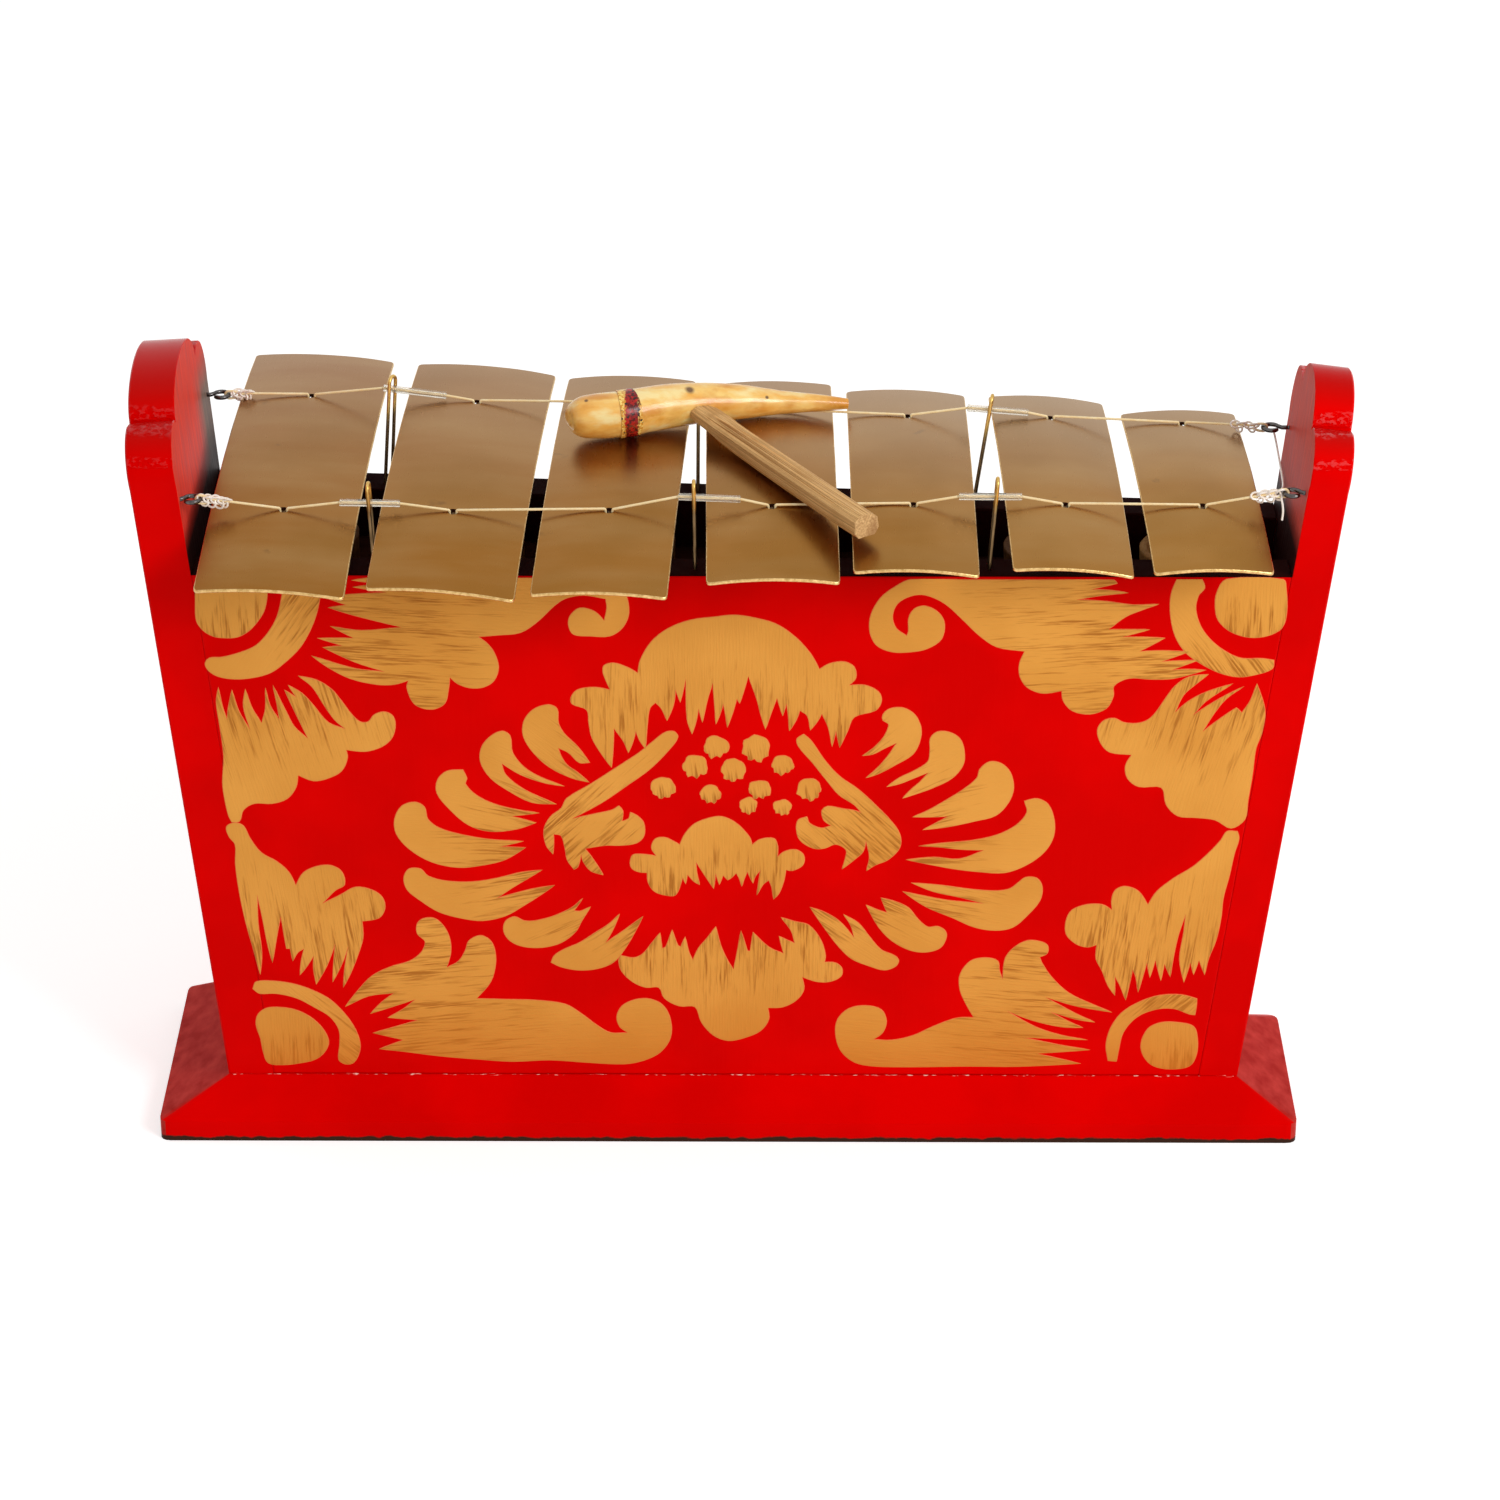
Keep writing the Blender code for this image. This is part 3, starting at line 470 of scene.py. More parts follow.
def inner_face(name, low, high, reflected=None):
    """Thin dull paint whose brush marks run up and down, painted near black as shade below the keys."""
    made, tree, shader = finish(name, Specular_IOR_Level=0.04, Specular_Tint=PAINT_GLOSS)
    where, apart = places(tree)
    marks = use(tree, strokes_group, where, (420, 420, 22), 1.7)["Strokes"]
    color = blend(tree, marks, low, high)
    # the grey-brown patch below the lobes is a painted reflection of the keys
    if reflected:
        corner = calc(tree, "MULTIPLY", span(tree, apart[1], 0.020, 0.048),
                      span(tree, apart[2], 0.408, 0.386))
        color = blend(tree, corner, color, blend(tree, marks, *reflected))
    # painted shade: near black below the keys, down in the case
    color = blend(tree, span(tree, apart[2], 0.362, 0.348), color, INSIDE_SHADE)
    feed(tree, shader, color, span(tree, marks, 0.1, 0.9, 0.42, 0.60), marks, 0.0004, 0.40)
    return made


# grey-brown painted reflection of the keys, used on the left inner face
KEY_REFLECTION = ((0.10, 0.06, 0.045, 1), (0.30, 0.20, 0.16, 1))
# one paint on both inner faces, painted lighter on the left board, which faces the lamp, and darker on the
# right: painted light and shade
LEFT_FACE = inner_face("left_inner_face", (0.58, 0.012, 0.008, 1), (0.94, 0.085, 0.050, 1), KEY_REFLECTION)
RIGHT_FACE = inner_face("right_inner_face", (0.50, 0.026, 0.018, 1), (0.82, 0.120, 0.085, 1))
BEAD_PAINT = red_paint("bead_paint", (300, 300, 300), 0.12)
JOINT_R = 0.00034
JOINT_SINK = 0.0003
for name, shape, face in (("left", (left_x, LEFT_THICK, LEFT_LEAN, LEFT_LOBES), LEFT_FACE),
                          ("right", (right_x, RIGHT_THICK, RIGHT_LEAN, RIGHT_LOBES), RIGHT_FACE)):
    board = piece(f"{name}_board", *skin(board_rings(*shape)), BOARD_GLOSS, smooth=25,
                  slot="red_painted_wood", nodes=(f"{name}_end_board",))
    board.data.materials.append(face)
    board.data.polygons[-1].material_index = 1
    face_x, thick = shape[:2]
    bead = []
    for k in range(81):
        z = PLINTH_TOP + 0.0006 + (FRONT_TOP - 0.0008 - PLINTH_TOP) * k / 80
        swell = JOINT_R + 0.00004 * noise.noise(Vector((0, 3, z * 120)))
        spot = at(face_x(z, thick), front_y(z) + JOINT_SINK, z)
        bead.append([spot + Vector((math.cos(t), -math.sin(t), 0)) * swell
                     for t in (math.pi * (n / 6 - 0.25) for n in range(10))])
    piece(f"{name}_joint_paint", *skin(bead), BEAD_PAINT)


# The gold ornament.
# Leaves, petals, clouds and dots brushed by hand on the front panel in thick bronze-powder
# paint. The hairs of the brush ran dry towards the pointed tips, so the gold is browner there.
# Each outline is in millimetres from the middle of the panel's foot, after the brush's pull.
RELIEF = 0.00022
FEATHER = 0.32
CUT_OFF = 300
CLEFT = math.radians(72)
STROKES = {
    "top_left_disc": ((0, -1), (
        (-273.5, 307.5), (-274.5, 292), (-274.5, 282.5), (-271.5, 277), (-266.5, 273.5), (-260.5, 272.5),
        (-254, 273), (-248, 276.5), (-243.5, 281.5), (-239.5, 288), (-237.5, 295.5), (-237, 302),
        (-238, 308),
    )),
    "top_left_arc": ((0.7, 1), (
        (-228, 308), (-229.5, 297.5), (-232.5, 285.5), (-237.5, 276), (-244.5, 268), (-252.5, 264),
        (-262.5, 261), (-269, 260.5), (-271.5, 257.5), (-270, 253), (-265, 249.5), (-256.5, 248),
        (-246.5, 249), (-237.5, 252), (-229.5, 258.5), (-222, 266.5), (-216.5, 276), (-212.5, 286),
        (-210, 296.5), (-208.5, 308),
    )),
    "top_left_scroll": ((-1, 0.05), (
        (-209, 297), (-196.5, 292), (-206, 290.5), (-193, 286), (-168.5, 279), (-189.5, 277),
        (-205.5, 279.5), (-193.5, 272.5), (-212.5, 272.5), (-199.5, 268), (-210, 267), (-194, 258.5),
        (-178, 252.5), (-194, 254.5), (-216, 262), (-207.5, 255), (-196.5, 248.5), (-183, 245),
        (-173.5, 245), (-166, 247.5), (-167, 243), (-164, 234), (-158.5, 230.5), (-152.5, 230.5),
        (-147.5, 234), (-145.5, 242), (-144.5, 249.5), (-140.5, 245.5), (-134, 243), (-127, 243.5),
        (-121.5, 247.5), (-119, 255.5), (-121, 264), (-124.5, 269.5), (-129, 273.5), (-118.5, 274.5),
        (-107, 276), (-97.5, 283), (-89.5, 291.5), (-83.5, 296), (-74, 298), (-62.5, 296), (-62, 290.5),
        (-63.5, 283), (-68.5, 288.5), (-76, 290.5), (-81, 286), (-82, 280.5), (-79.5, 275), (-70.5, 274),
        (-61, 274), (-54.5, 278.5), (-51, 286), (-51, 293.5), (-53, 300.5), (-57, 305.5), (-64.5, 308),
        (-91, 308), (-148, 308), (-182.5, 308), (-193.5, 306.5), (-179, 304.5), (-193, 302.5),
        (-175, 299.5), (-198, 298),
    )),
    "left_upper_leaf": ((-0.25, 1), (
        (-265.5, 243), (-267, 234), (-266, 219.5), (-265, 201.5), (-266.5, 185.5), (-266, 175.5),
        (-264.5, 165), (-263, 161), (-259, 161.5), (-256.5, 168.5), (-250.5, 172.5), (-241, 172.5),
        (-233, 175.5), (-228, 182.5), (-226.5, 190), (-218.5, 186.5), (-211, 188), (-203.5, 192.5),
        (-200, 200.5), (-200.5, 205.5), (-190.5, 204.5), (-181.5, 207.5), (-176, 213), (-174, 221),
        (-175.5, 226.5), (-180, 228.5), (-185, 226.5), (-188, 222.5), (-192.5, 222.5), (-197, 227.5),
        (-201, 234), (-206.5, 242), (-214, 247.5), (-223.5, 250), (-216.5, 243.5), (-210.5, 232),
        (-205.5, 223.5), (-200, 218), (-209, 222), (-216.5, 232.5), (-222, 239.5), (-229, 244.5),
        (-225, 237), (-231, 241.5), (-227, 230.5), (-220, 212), (-227, 219.5), (-231, 229), (-237, 244.5),
        (-235.5, 234), (-234.5, 223.5), (-239, 232), (-241, 243), (-241.5, 230.5), (-244, 221.5),
        (-248.5, 230.5), (-251.5, 242), (-253, 231.5), (-250, 217), (-255.5, 228.5), (-258.5, 241.5),
        (-261, 230.5), (-262, 223.5), (-264, 231.5),
    )),
    "left_lower_leaf": ((0.1, -1), (
        (-266, 158), (-261.5, 160.5), (-257, 158.5), (-254, 151), (-248.5, 142), (-240.5, 136.5),
        (-234.5, 130), (-231, 121.5), (-226.5, 129.5), (-219, 133.5), (-211.5, 134), (-206, 130),
        (-205, 122), (-210, 118.5), (-217.5, 110), (-207.5, 115.5), (-199, 120.5), (-190, 118.5),
        (-185, 114), (-184, 107), (-187.5, 101), (-196.5, 99), (-196.5, 88.5), (-199.5, 78), (-204, 66),
        (-208.5, 56.5), (-207, 69.5), (-204.5, 83.5), (-208, 73), (-214, 60), (-213, 72), (-211.5, 85),
        (-216.5, 71), (-223, 58.5), (-224, 68.5), (-223.5, 77), (-227, 71), (-231.5, 64.5), (-230.5, 73),
        (-228.5, 81.5), (-232, 79), (-235, 73.5), (-236, 81.5), (-238, 81.5), (-239, 92), (-240, 102.5),
        (-242.5, 91), (-246, 72.5), (-248, 84), (-250, 101.5), (-252, 116), (-252.5, 98), (-251.5, 79),
        (-253, 64.5), (-255.5, 79), (-259, 98), (-261.5, 118), (-262.5, 135), (-262, 147), (-265, 152),
    )),
    "bottom_left_arc": ((0.7, -0.7), (
        (-257.5, 55.5), (-255.5, 60), (-246.5, 60.5), (-236.5, 59), (-227, 55.5), (-217, 49.5),
        (-209.5, 41), (-204, 31.5), (-201, 21.5), (-201.5, 14.5), (-205, 7.5), (-209.5, 6.5), (-213, 9.5),
        (-212, 19.5), (-212, 29), (-216.5, 37.5), (-224.5, 43.5), (-234, 49.5), (-245, 52.5), (-254, 52.5),
    )),
    "bottom_left_disc": ((0, -1), (
        (-257, 32.5), (-255.5, 39), (-250.5, 43), (-243.5, 43.5), (-235.5, 42), (-227.5, 37.5), (-221, 30),
        (-218, 21.5), (-220.5, 14.5), (-226, 9.5), (-235, 7), (-242.5, 6), (-251.5, 7), (-254, 14.5),
        (-255, 23),
    )),
    "bottom_left_scroll": ((-1, -0.1), (
        (-208, 44), (-201, 54), (-192.5, 64), (-182, 70), (-172, 73.5), (-165.5, 79), (-163, 86),
        (-167, 91), (-167, 97), (-164, 100.5), (-158, 101), (-153.5, 97), (-150, 89), (-149.5, 79.5),
        (-152, 69.5), (-145.5, 73.5), (-141.5, 80.5), (-139.5, 86.5), (-133.5, 90), (-128.5, 87.5),
        (-126, 82), (-125.5, 72.5), (-128.5, 60.5), (-136.5, 49.5), (-121, 49), (-104.5, 48.5), (-88.5, 46),
        (-80, 40), (-71, 32), (-64, 27.5), (-54.5, 27.5), (-59, 31.5), (-60.5, 38), (-57.5, 45),
        (-50.5, 49), (-42.5, 49.5), (-35.5, 45.5), (-31.5, 36.5), (-31.5, 24.5), (-37, 15), (-46, 9.5),
        (-57, 7), (-77.5, 8), (-97.5, 9.5), (-118, 8.5), (-138, 10), (-158, 12), (-178, 15), (-190.5, 16.5),
        (-177, 22.5), (-193.5, 27), (-181.5, 31), (-168.5, 35.5), (-185, 37), (-176, 43), (-169.5, 49),
        (-194.5, 39.5), (-188, 47), (-181, 53), (-195, 51),
    )),
    "left_petal_1": ((0.75, -0.65), (
        (-73, 186), (-82, 188.5), (-93.5, 195), (-102, 204), (-107, 214), (-106.5, 223), (-101.5, 230),
        (-93.5, 233), (-89, 230.5), (-88.5, 222), (-85.5, 215.5), (-78.5, 207.5), (-72.5, 198), (-78, 198),
        (-83.5, 204), (-89, 207), (-87.5, 202), (-84.5, 196.5), (-79, 192),
    )),
    "left_petal_2": ((0.9, -0.45), (
        (-90.5, 172.5), (-103.5, 173.5), (-115.5, 180.5), (-125, 188.5), (-130, 198.5), (-129, 207.5),
        (-124, 214), (-118, 217), (-114, 214), (-113, 204), (-107, 195), (-98.5, 189), (-86, 183.5),
        (-96.5, 185.5), (-109, 190.5), (-119, 197.5), (-117, 190.5), (-107.5, 181.5),
    )),
    "left_petal_3": ((1, -0.25), (
        (-101.5, 161), (-112, 157), (-126, 155.5), (-137.5, 159.5), (-147, 169), (-153.5, 179), (-153, 187),
        (-148, 192.5), (-139.5, 193.5), (-137.5, 188), (-138.5, 185), (-133, 178), (-123.5, 172.5),
        (-111.5, 169), (-99.5, 167), (-114.5, 165),
    )),
    "left_petal_4": ((1, 0), (
        (-107.5, 145.5), (-118.5, 138), (-130.5, 134.5), (-144, 133), (-158, 136.5), (-169.5, 144.5),
        (-176, 154), (-176.5, 163), (-172.5, 171), (-165.5, 173.5), (-160.5, 170.5), (-159, 163),
        (-153, 157.5), (-141.5, 153.5), (-126, 150.5), (-108.5, 149.5), (-121, 146),
    )),
    "left_petal_5": ((1, 0.2), (
        (-99, 131.5), (-110.5, 130), (-122.5, 126.5), (-136.5, 124), (-150.5, 124.5), (-160, 127.5),
        (-164, 132), (-170, 132), (-173, 126.5), (-171.5, 119), (-164.5, 112), (-155, 105), (-143, 101),
        (-131.5, 99.5), (-119.5, 102.5), (-109.5, 109), (-100, 116), (-92.5, 122), (-105, 119.5),
        (-115, 116.5), (-124, 113.5), (-115, 120.5),
    )),
    "left_petal_6": ((0.9, 0.45), (
        (-77.5, 114), (-83.5, 108), (-93.5, 102.5), (-103.5, 99.5), (-109.5, 99.5), (-114.5, 102),
        (-119.5, 99), (-120.5, 92.5), (-117, 86.5), (-110, 83), (-100, 82.5), (-90, 85.5), (-82, 92.5),
        (-78.5, 99.5), (-73.5, 108.5), (-79.5, 105.5), (-82.5, 106),
    )),
    "left_petal_7": ((0.8, 0.6), (
        (-58, 104), (-64, 97.5), (-72, 91.5), (-80, 85.5), (-88, 81.5), (-93.5, 77.5), (-95.5, 73),
        (-90, 70), (-80.5, 68), (-70.5, 69), (-62, 73), (-56, 81), (-50.5, 91.5), (-45.5, 102.5),
        (-56, 93.5), (-66, 85.5), (-62, 93.5),
    )),
    "left_brow": ((-0.7, -0.7), (
        (-32.5, 216.5), (-28, 217), (-26, 213.5), (-31, 205.5), (-41, 194), (-52.5, 184.5), (-66.5, 173.5),
        (-82.5, 163.5), (-68.5, 167), (-61, 169), (-57.5, 171.5), (-55.5, 168.5), (-56, 162),
        (-52.5, 163.5), (-51.5, 167.5), (-48, 165.5), (-44.5, 161), (-44.5, 153), (-48.5, 148.5),
        (-57, 147), (-65, 147), (-76, 145), (-73, 140.5), (-69, 133.5), (-66.5, 128.5), (-73, 131),
        (-77, 137), (-78, 141.5), (-80, 133.5), (-82, 132), (-85.5, 138), (-86.5, 145), (-88.5, 153),
        (-92.5, 154), (-92.5, 148.5), (-93, 141.5), (-96.5, 147), (-97.5, 156.5), (-94, 164.5), (-88, 170),
        (-85, 176), (-72, 185), (-58.5, 195), (-46.5, 204), (-39, 211),
    )),
    "right_petal_1": ((-0.75, -0.65), (
        (81.5, 227.5), (85, 231), (92, 231.5), (98, 227.5), (101.5, 219.5), (101, 211.5), (97.5, 203.5),
        (88.5, 197), (79.5, 191.5), (73, 189), (78.5, 194.5), (84.5, 202.5), (89, 210.5), (82.5, 207),
        (76.5, 203.5), (71, 202.5), (76.5, 207), (81.5, 213), (84, 218.5), (84.5, 222), (81.5, 224),
    )),
    "right_petal_2": ((-0.9, -0.45), (
        (106.5, 213), (110, 217), (116, 217), (122, 213), (124.5, 205), (124, 197), (118.5, 189),
        (108.5, 183), (99, 179), (92.5, 176.5), (97, 182), (101.5, 186.5), (106, 192.5), (98.5, 189),
        (91, 185.5), (84, 183.5), (90.5, 189), (98.5, 193.5), (105.5, 199), (106.5, 206),
    )),
    "right_petal_3": ((-1, -0.25), (
        (133, 194.5), (138, 199), (144, 198), (149, 192.5), (151, 183), (148.5, 174), (142, 166),
        (131, 162.5), (117, 159), (103.5, 157), (110, 161), (117, 165.5), (107, 165), (98, 165), (106, 169),
        (115, 175), (124.5, 182), (131.5, 189),
    )),
    "right_petal_4": ((-1, 0), (
        (157, 175), (163.5, 176.5), (169.5, 173), (173, 163.5), (173, 153), (168.5, 143.5), (159.5, 135.5),
        (148, 130.5), (134, 131), (119.5, 133), (105.5, 136), (95, 138.5), (109.5, 140), (123.5, 139),
        (136.5, 144.5), (123.5, 145), (111.5, 146.5), (101.5, 147), (115.5, 149), (129.5, 150.5),
        (143, 154), (153, 160), (158.5, 168),
    )),
    "right_petal_5": ((-1, 0.2), (
        (155, 124), (159, 127.5), (165, 127), (168, 121.5), (167, 113), (160.5, 103.5), (153, 96),
        (144, 94), (132.5, 96), (120.5, 102), (106, 109), (93.5, 118.5), (106, 115.5), (118, 113),
        (137.5, 111), (124, 115), (110, 118.5), (98, 124), (114, 122.5), (130, 120), (144, 119),
        (151, 120.5),
    )),
    "right_petal_6": ((-0.9, 0.45), (
        (116.5, 94), (117.5, 90), (114.5, 83), (106.5, 80), (97.5, 81.5), (88, 87.5), (81, 96), (74, 110),
        (80, 107), (85.5, 105), (82, 114.5), (90, 112), (97, 108), (102, 101), (107.5, 96), (112.5, 96.5),
    )),
    "right_petal_7": ((-0.8, 0.6), (
        (92, 75), (90.5, 71), (84.5, 68.5), (76.5, 71), (67, 75.5), (60, 83), (53, 93.5), (44, 108.5),
        (51.5, 105.5), (60, 99.5), (68, 89), (66, 97), (62, 104), (70, 98.5), (76, 90), (82.5, 81.5),
        (89.5, 78),
    )),
    "right_brow": ((0.7, -0.7), (
        (36.5, 212.5), (40, 215.5), (44, 211.5), (51, 200), (59, 190), (69, 182), (79, 171.5), (87, 162),
        (91.5, 154), (91.5, 146), (85.5, 138.5), (78.5, 135), (74, 131.5), (75.5, 140), (73.5, 150.5),
        (72, 143.5), (67.5, 138.5), (61, 132.5), (62.5, 138.5), (63, 144.5), (57.5, 148), (51.5, 145.5),
        (45.5, 145.5), (38.5, 150.5), (36.5, 157.5), (37.5, 163), (42, 165), (43.5, 161), (49.5, 158),
        (55, 159.5), (51, 163), (50, 169), (53, 171.5), (61, 170), (67, 169), (71, 167.5), (67, 172.5),
        (59, 178.5), (53, 186.5), (45, 198), (37.5, 208),
    )),
    "top_right_scroll": ((1, 0.05), (
        (94.5, 307.5), (87, 303.5), (79.5, 297), (74.5, 287), (74, 277), (77.5, 269), (85.5, 265),
        (95.5, 265), (104, 267), (111, 272.5), (112.5, 281.5), (109.5, 288), (102.5, 292), (97, 290.5),
        (94, 285), (94, 277), (93, 274.5), (87.5, 279), (85.5, 286), (88, 293.5), (95, 298), (102.5, 298.5),
        (112.5, 293.5), (122.5, 283.5), (130.5, 275), (140, 268), (154.5, 265.5), (152, 258),
        (152.5, 250.5), (156.5, 244), (164.5, 240.5), (174.5, 242), (175.5, 236), (180.5, 230),
        (189.5, 228), (198, 231.5), (201.5, 239), (201.5, 245), (209, 249.5), (221, 249), (232.5, 249.5),
        (249, 254.5), (240.5, 255), (231, 254.5), (245, 260.5), (234, 260), (225.5, 259.5), (240, 265.5),
        (226, 266), (214, 265.5), (227, 273.5), (216, 274), (204.5, 274), (219, 278.5), (208, 278.5),
        (197.5, 278.5), (206, 286), (215.5, 290.5), (223, 293.5), (209.5, 293), (195.5, 295), (180, 296),
        (193.5, 298.5), (207, 300), (197.5, 301.5), (187.5, 302), (201, 305.5), (199, 307.5),
        (160.5, 307.5), (121.5, 307.5),
    )),
    "top_right_arc": ((0.7, -1), (
        (231.5, 308), (229, 299.5), (229, 288.5), (232, 275), (238, 265), (246, 258.5), (256, 253),
        (266, 250.5), (275.5, 252), (283.5, 255.5), (284, 260.5), (277, 261.5), (267.5, 261.5),
        (259.5, 265), (251, 272), (245, 280.5), (242, 290.5), (243, 298.5), (246, 303), (244.5, 308),
    )),
    "top_right_disc": ((0, -1), (
        (257, 308), (252.5, 300.5), (252, 292), (254, 284), (260.5, 277.5), (270.5, 274), (280, 275),
        (287, 279.5), (289, 288.5), (288, 302), (286, 308),
    )),
    "right_upper_leaf": ((0.25, 1), (
        (250.5, 252), (240.5, 250.5), (233.5, 245), (228.5, 237), (224, 229), (220, 224.5), (214.5, 222.5),
        (207.5, 223), (202.5, 225.5), (197, 224), (194, 218.5), (196, 210.5), (201, 205), (212.5, 203.5),
        (209.5, 196.5), (211, 189), (217, 184), (229, 183.5), (232, 173), (238.5, 166), (248.5, 165),
        (258.5, 163.5), (267, 158.5), (274, 164), (275, 175.5), (276.5, 191.5), (277.5, 207.5),
        (280, 216.5), (281, 230.5), (276, 246.5), (273, 236), (269, 229), (266, 232), (258.5, 226),
        (249, 217.5), (254.5, 228.5), (260.5, 237.5), (269.5, 245), (257, 237.5), (243.5, 227.5),
        (250, 236), (263.5, 246.5), (250, 241.5), (241, 236), (234, 229), (238, 239.5), (243.5, 245.5),
    )),
    "right_lower_leaf": ((-0.1, -1), (
        (265, 156.5), (270.5, 156.5), (271.5, 152), (269.5, 142.5), (267.5, 128.5), (265, 114.5),
        (264.5, 102.5), (262.5, 88), (259, 76), (257.5, 66), (254, 75.5), (251.5, 66), (249.5, 74),
        (246.5, 61), (243.5, 76), (245, 93), (245.5, 105), (242, 90.5), (240, 76), (239, 64.5), (235.5, 73),
        (234, 62), (230.5, 75.5), (228, 64), (226, 74), (224.5, 66.5), (222, 54.5), (220.5, 64),
        (218.5, 69.5), (217, 59), (215.5, 49.5), (212, 59), (209, 65), (209.5, 52.5), (205.5, 59),
        (202, 68.5), (198.5, 76), (198.5, 85), (193.5, 83.5), (187.5, 85.5), (182, 91.5), (181.5, 100),
        (184.5, 107), (192.5, 110.5), (200.5, 110.5), (206, 107), (205.5, 114), (207.5, 120), (212.5, 122),
        (219.5, 119), (225, 110.5), (229.5, 119), (238.5, 127.5), (248, 134.5), (255.5, 142.5), (262, 151),
    )),
    "bottom_right_arc": ((0.7, 0.7), (
        (254, 46), (254, 50.5), (245.5, 53), (233.5, 52.5), (222.5, 48), (213.5, 41), (208, 31), (206, 20),
        (207.5, 10), (212, 9.5), (213, 17.5), (215, 28.5), (222, 38.5), (232, 43.5), (242, 44),
        (250.5, 40.5), (253.5, 40),
    )),
    "bottom_right_disc": ((0, -1), (
        (228.5, 31), (235.5, 35), (244.5, 35), (253, 32.5), (255.5, 25), (255.5, 14), (252, 6.5),
        (242, 4.5), (232.5, 6.5), (227, 12.5), (225, 21),
    )),
    "bottom_right_scroll": ((1, -0.1), (
        (208.5, 41.5), (197, 47), (184.5, 54), (175, 64), (169.5, 73), (168, 77), (172, 79.5), (172, 84.5),
        (168, 87), (161, 87.5), (154, 83), (149.5, 76), (148.5, 62.5), (146.5, 68.5), (145.5, 74.5),
        (139, 76.5), (131, 74.5), (125.5, 66), (125.5, 56.5), (128.5, 48), (133.5, 38), (124, 37.5),
        (111.5, 32), (100.5, 26), (89, 23), (79, 23.5), (84, 28), (86, 35.5), (83, 43), (74.5, 45.5),
        (65.5, 43.5), (59.5, 36.5), (58.5, 27), (61.5, 16), (69, 8.5), (79, 6), (100, 5.5), (128.5, 6),
        (159.5, 6), (192.5, 8), (168.5, 14.5), (197.5, 17), (181.5, 20), (161, 25), (196, 23.5),
        (181.5, 26.5), (167, 32), (151, 42.5), (164.5, 36.5), (181, 32), (193, 31.5), (186, 35),
        (174.5, 42), (189, 37), (199.5, 35), (189, 40.5), (171.5, 51.5), (189, 45.5),
    )),
    "crown_cloud": ((0, -1), (
        (-73.5, 230), (-81, 233.5), (-81.5, 237.5), (-78, 242), (-69.5, 243.5), (-61, 242), (-64.5, 252),
        (-64, 256.5), (-59, 258), (-52, 255.5), (-46.5, 252), (-45, 260), (-39, 271), (-30.5, 278.5),
        (-19, 283.5), (-5.5, 285.5), (3, 286.5), (11.5, 285.5), (25, 281.5), (35.5, 273.5), (43.5, 263.5),
        (48, 254.5), (53.5, 258), (61, 259), (66, 256), (67, 249.5), (63.5, 245), (72, 245), (79, 241),
        (80.5, 235.5), (77.5, 230), (66.5, 226), (63, 217.5), (59, 207.5), (57, 218), (55, 208),
        (53, 219.5), (49.5, 228), (47, 223), (43.5, 218), (42, 226.5), (38, 230), (36, 224), (32.5, 217.5),
        (32, 226.5), (31, 234.5), (29, 226.5), (26, 237.5), (23, 228.5), (20, 218.5), (17.5, 227.5),
        (15.5, 236.5), (11, 250.5), (8.5, 241), (6.5, 234), (5, 237), (3, 229), (0, 219.5), (-1, 228),
        (-2, 234), (-4, 227), (-6, 221.5), (-6.5, 232), (-7.5, 246.5), (-10.5, 235.5), (-13, 222.5),
        (-15, 231), (-16.5, 222.5), (-18.5, 215.5), (-21, 224.5), (-21.5, 249), (-24.5, 234.5),
        (-27, 242.5), (-28, 233.5), (-31.5, 223.5), (-34.5, 231), (-37.5, 234.5), (-40.5, 231), (-42, 220),
        (-43, 206.5), (-46, 211.5), (-48, 217.5), (-49.5, 211), (-52, 204), (-54.5, 211), (-59.5, 219),
        (-60, 207.5), (-61, 195), (-66, 203), (-71, 213), (-72.5, 222),
    )),
    "middle_cloud": ((0, -1), (
        (-52, 136), (-50.5, 141), (-45.5, 141.5), (-38, 140.5), (-40.5, 145.5), (-38.5, 151), (-33.5, 152),
        (-28.5, 149.5), (-25.5, 147.5), (-22.5, 154.5), (-17.5, 160.5), (-10, 164), (-3, 165), (4.5, 161),
        (11.5, 152.5), (13, 147.5), (17.5, 151), (24.5, 151.5), (26.5, 147), (26.5, 140), (30.5, 143.5),
        (36.5, 144.5), (40.5, 141), (40, 135), (34.5, 131.5), (31, 132), (30, 125.5), (27.5, 117.5),
        (24.5, 113.5), (23.5, 121), (22, 125.5), (19, 123), (15.5, 116), (16.5, 124), (17.5, 132),
        (14.5, 127.5), (13.5, 123.5), (12, 127), (10.5, 131), (9, 127), (7.5, 121.5), (6, 127), (4.5, 130),
        (2, 127), (0, 125.5), (-2.5, 128.5), (-4.5, 122.5), (-6.5, 130), (-7.5, 120), (-12, 128),
        (-17, 137), (-16.5, 130), (-15, 122.5), (-18, 124.5), (-21.5, 129), (-22.5, 123), (-24, 127),
        (-28, 116), (-34, 116), (-39.5, 118.5), (-42.5, 124), (-43, 130), (-47.5, 130.5), (-51, 132.5),
    )),
    "bottom_cloud": ((0, 1), (
        (-59, 74.5), (-58, 77.5), (-51, 76), (-46, 78.5), (-41, 85.5), (-36.5, 92), (-35.5, 82),
        (-33.5, 83), (-30, 94), (-27, 84), (-25.5, 83), (-23, 89.5), (-21, 79.5), (-19, 74.5), (-16, 82),
        (-11, 89), (-6.5, 96), (-4, 84.5), (-0.5, 75), (3, 68.5), (5, 80), (7, 93.5), (10.5, 80.5),
        (12, 80.5), (13.5, 92.5), (18.5, 86.5), (23.5, 82), (30, 79), (27.5, 90), (32, 87.5), (36, 85.5),
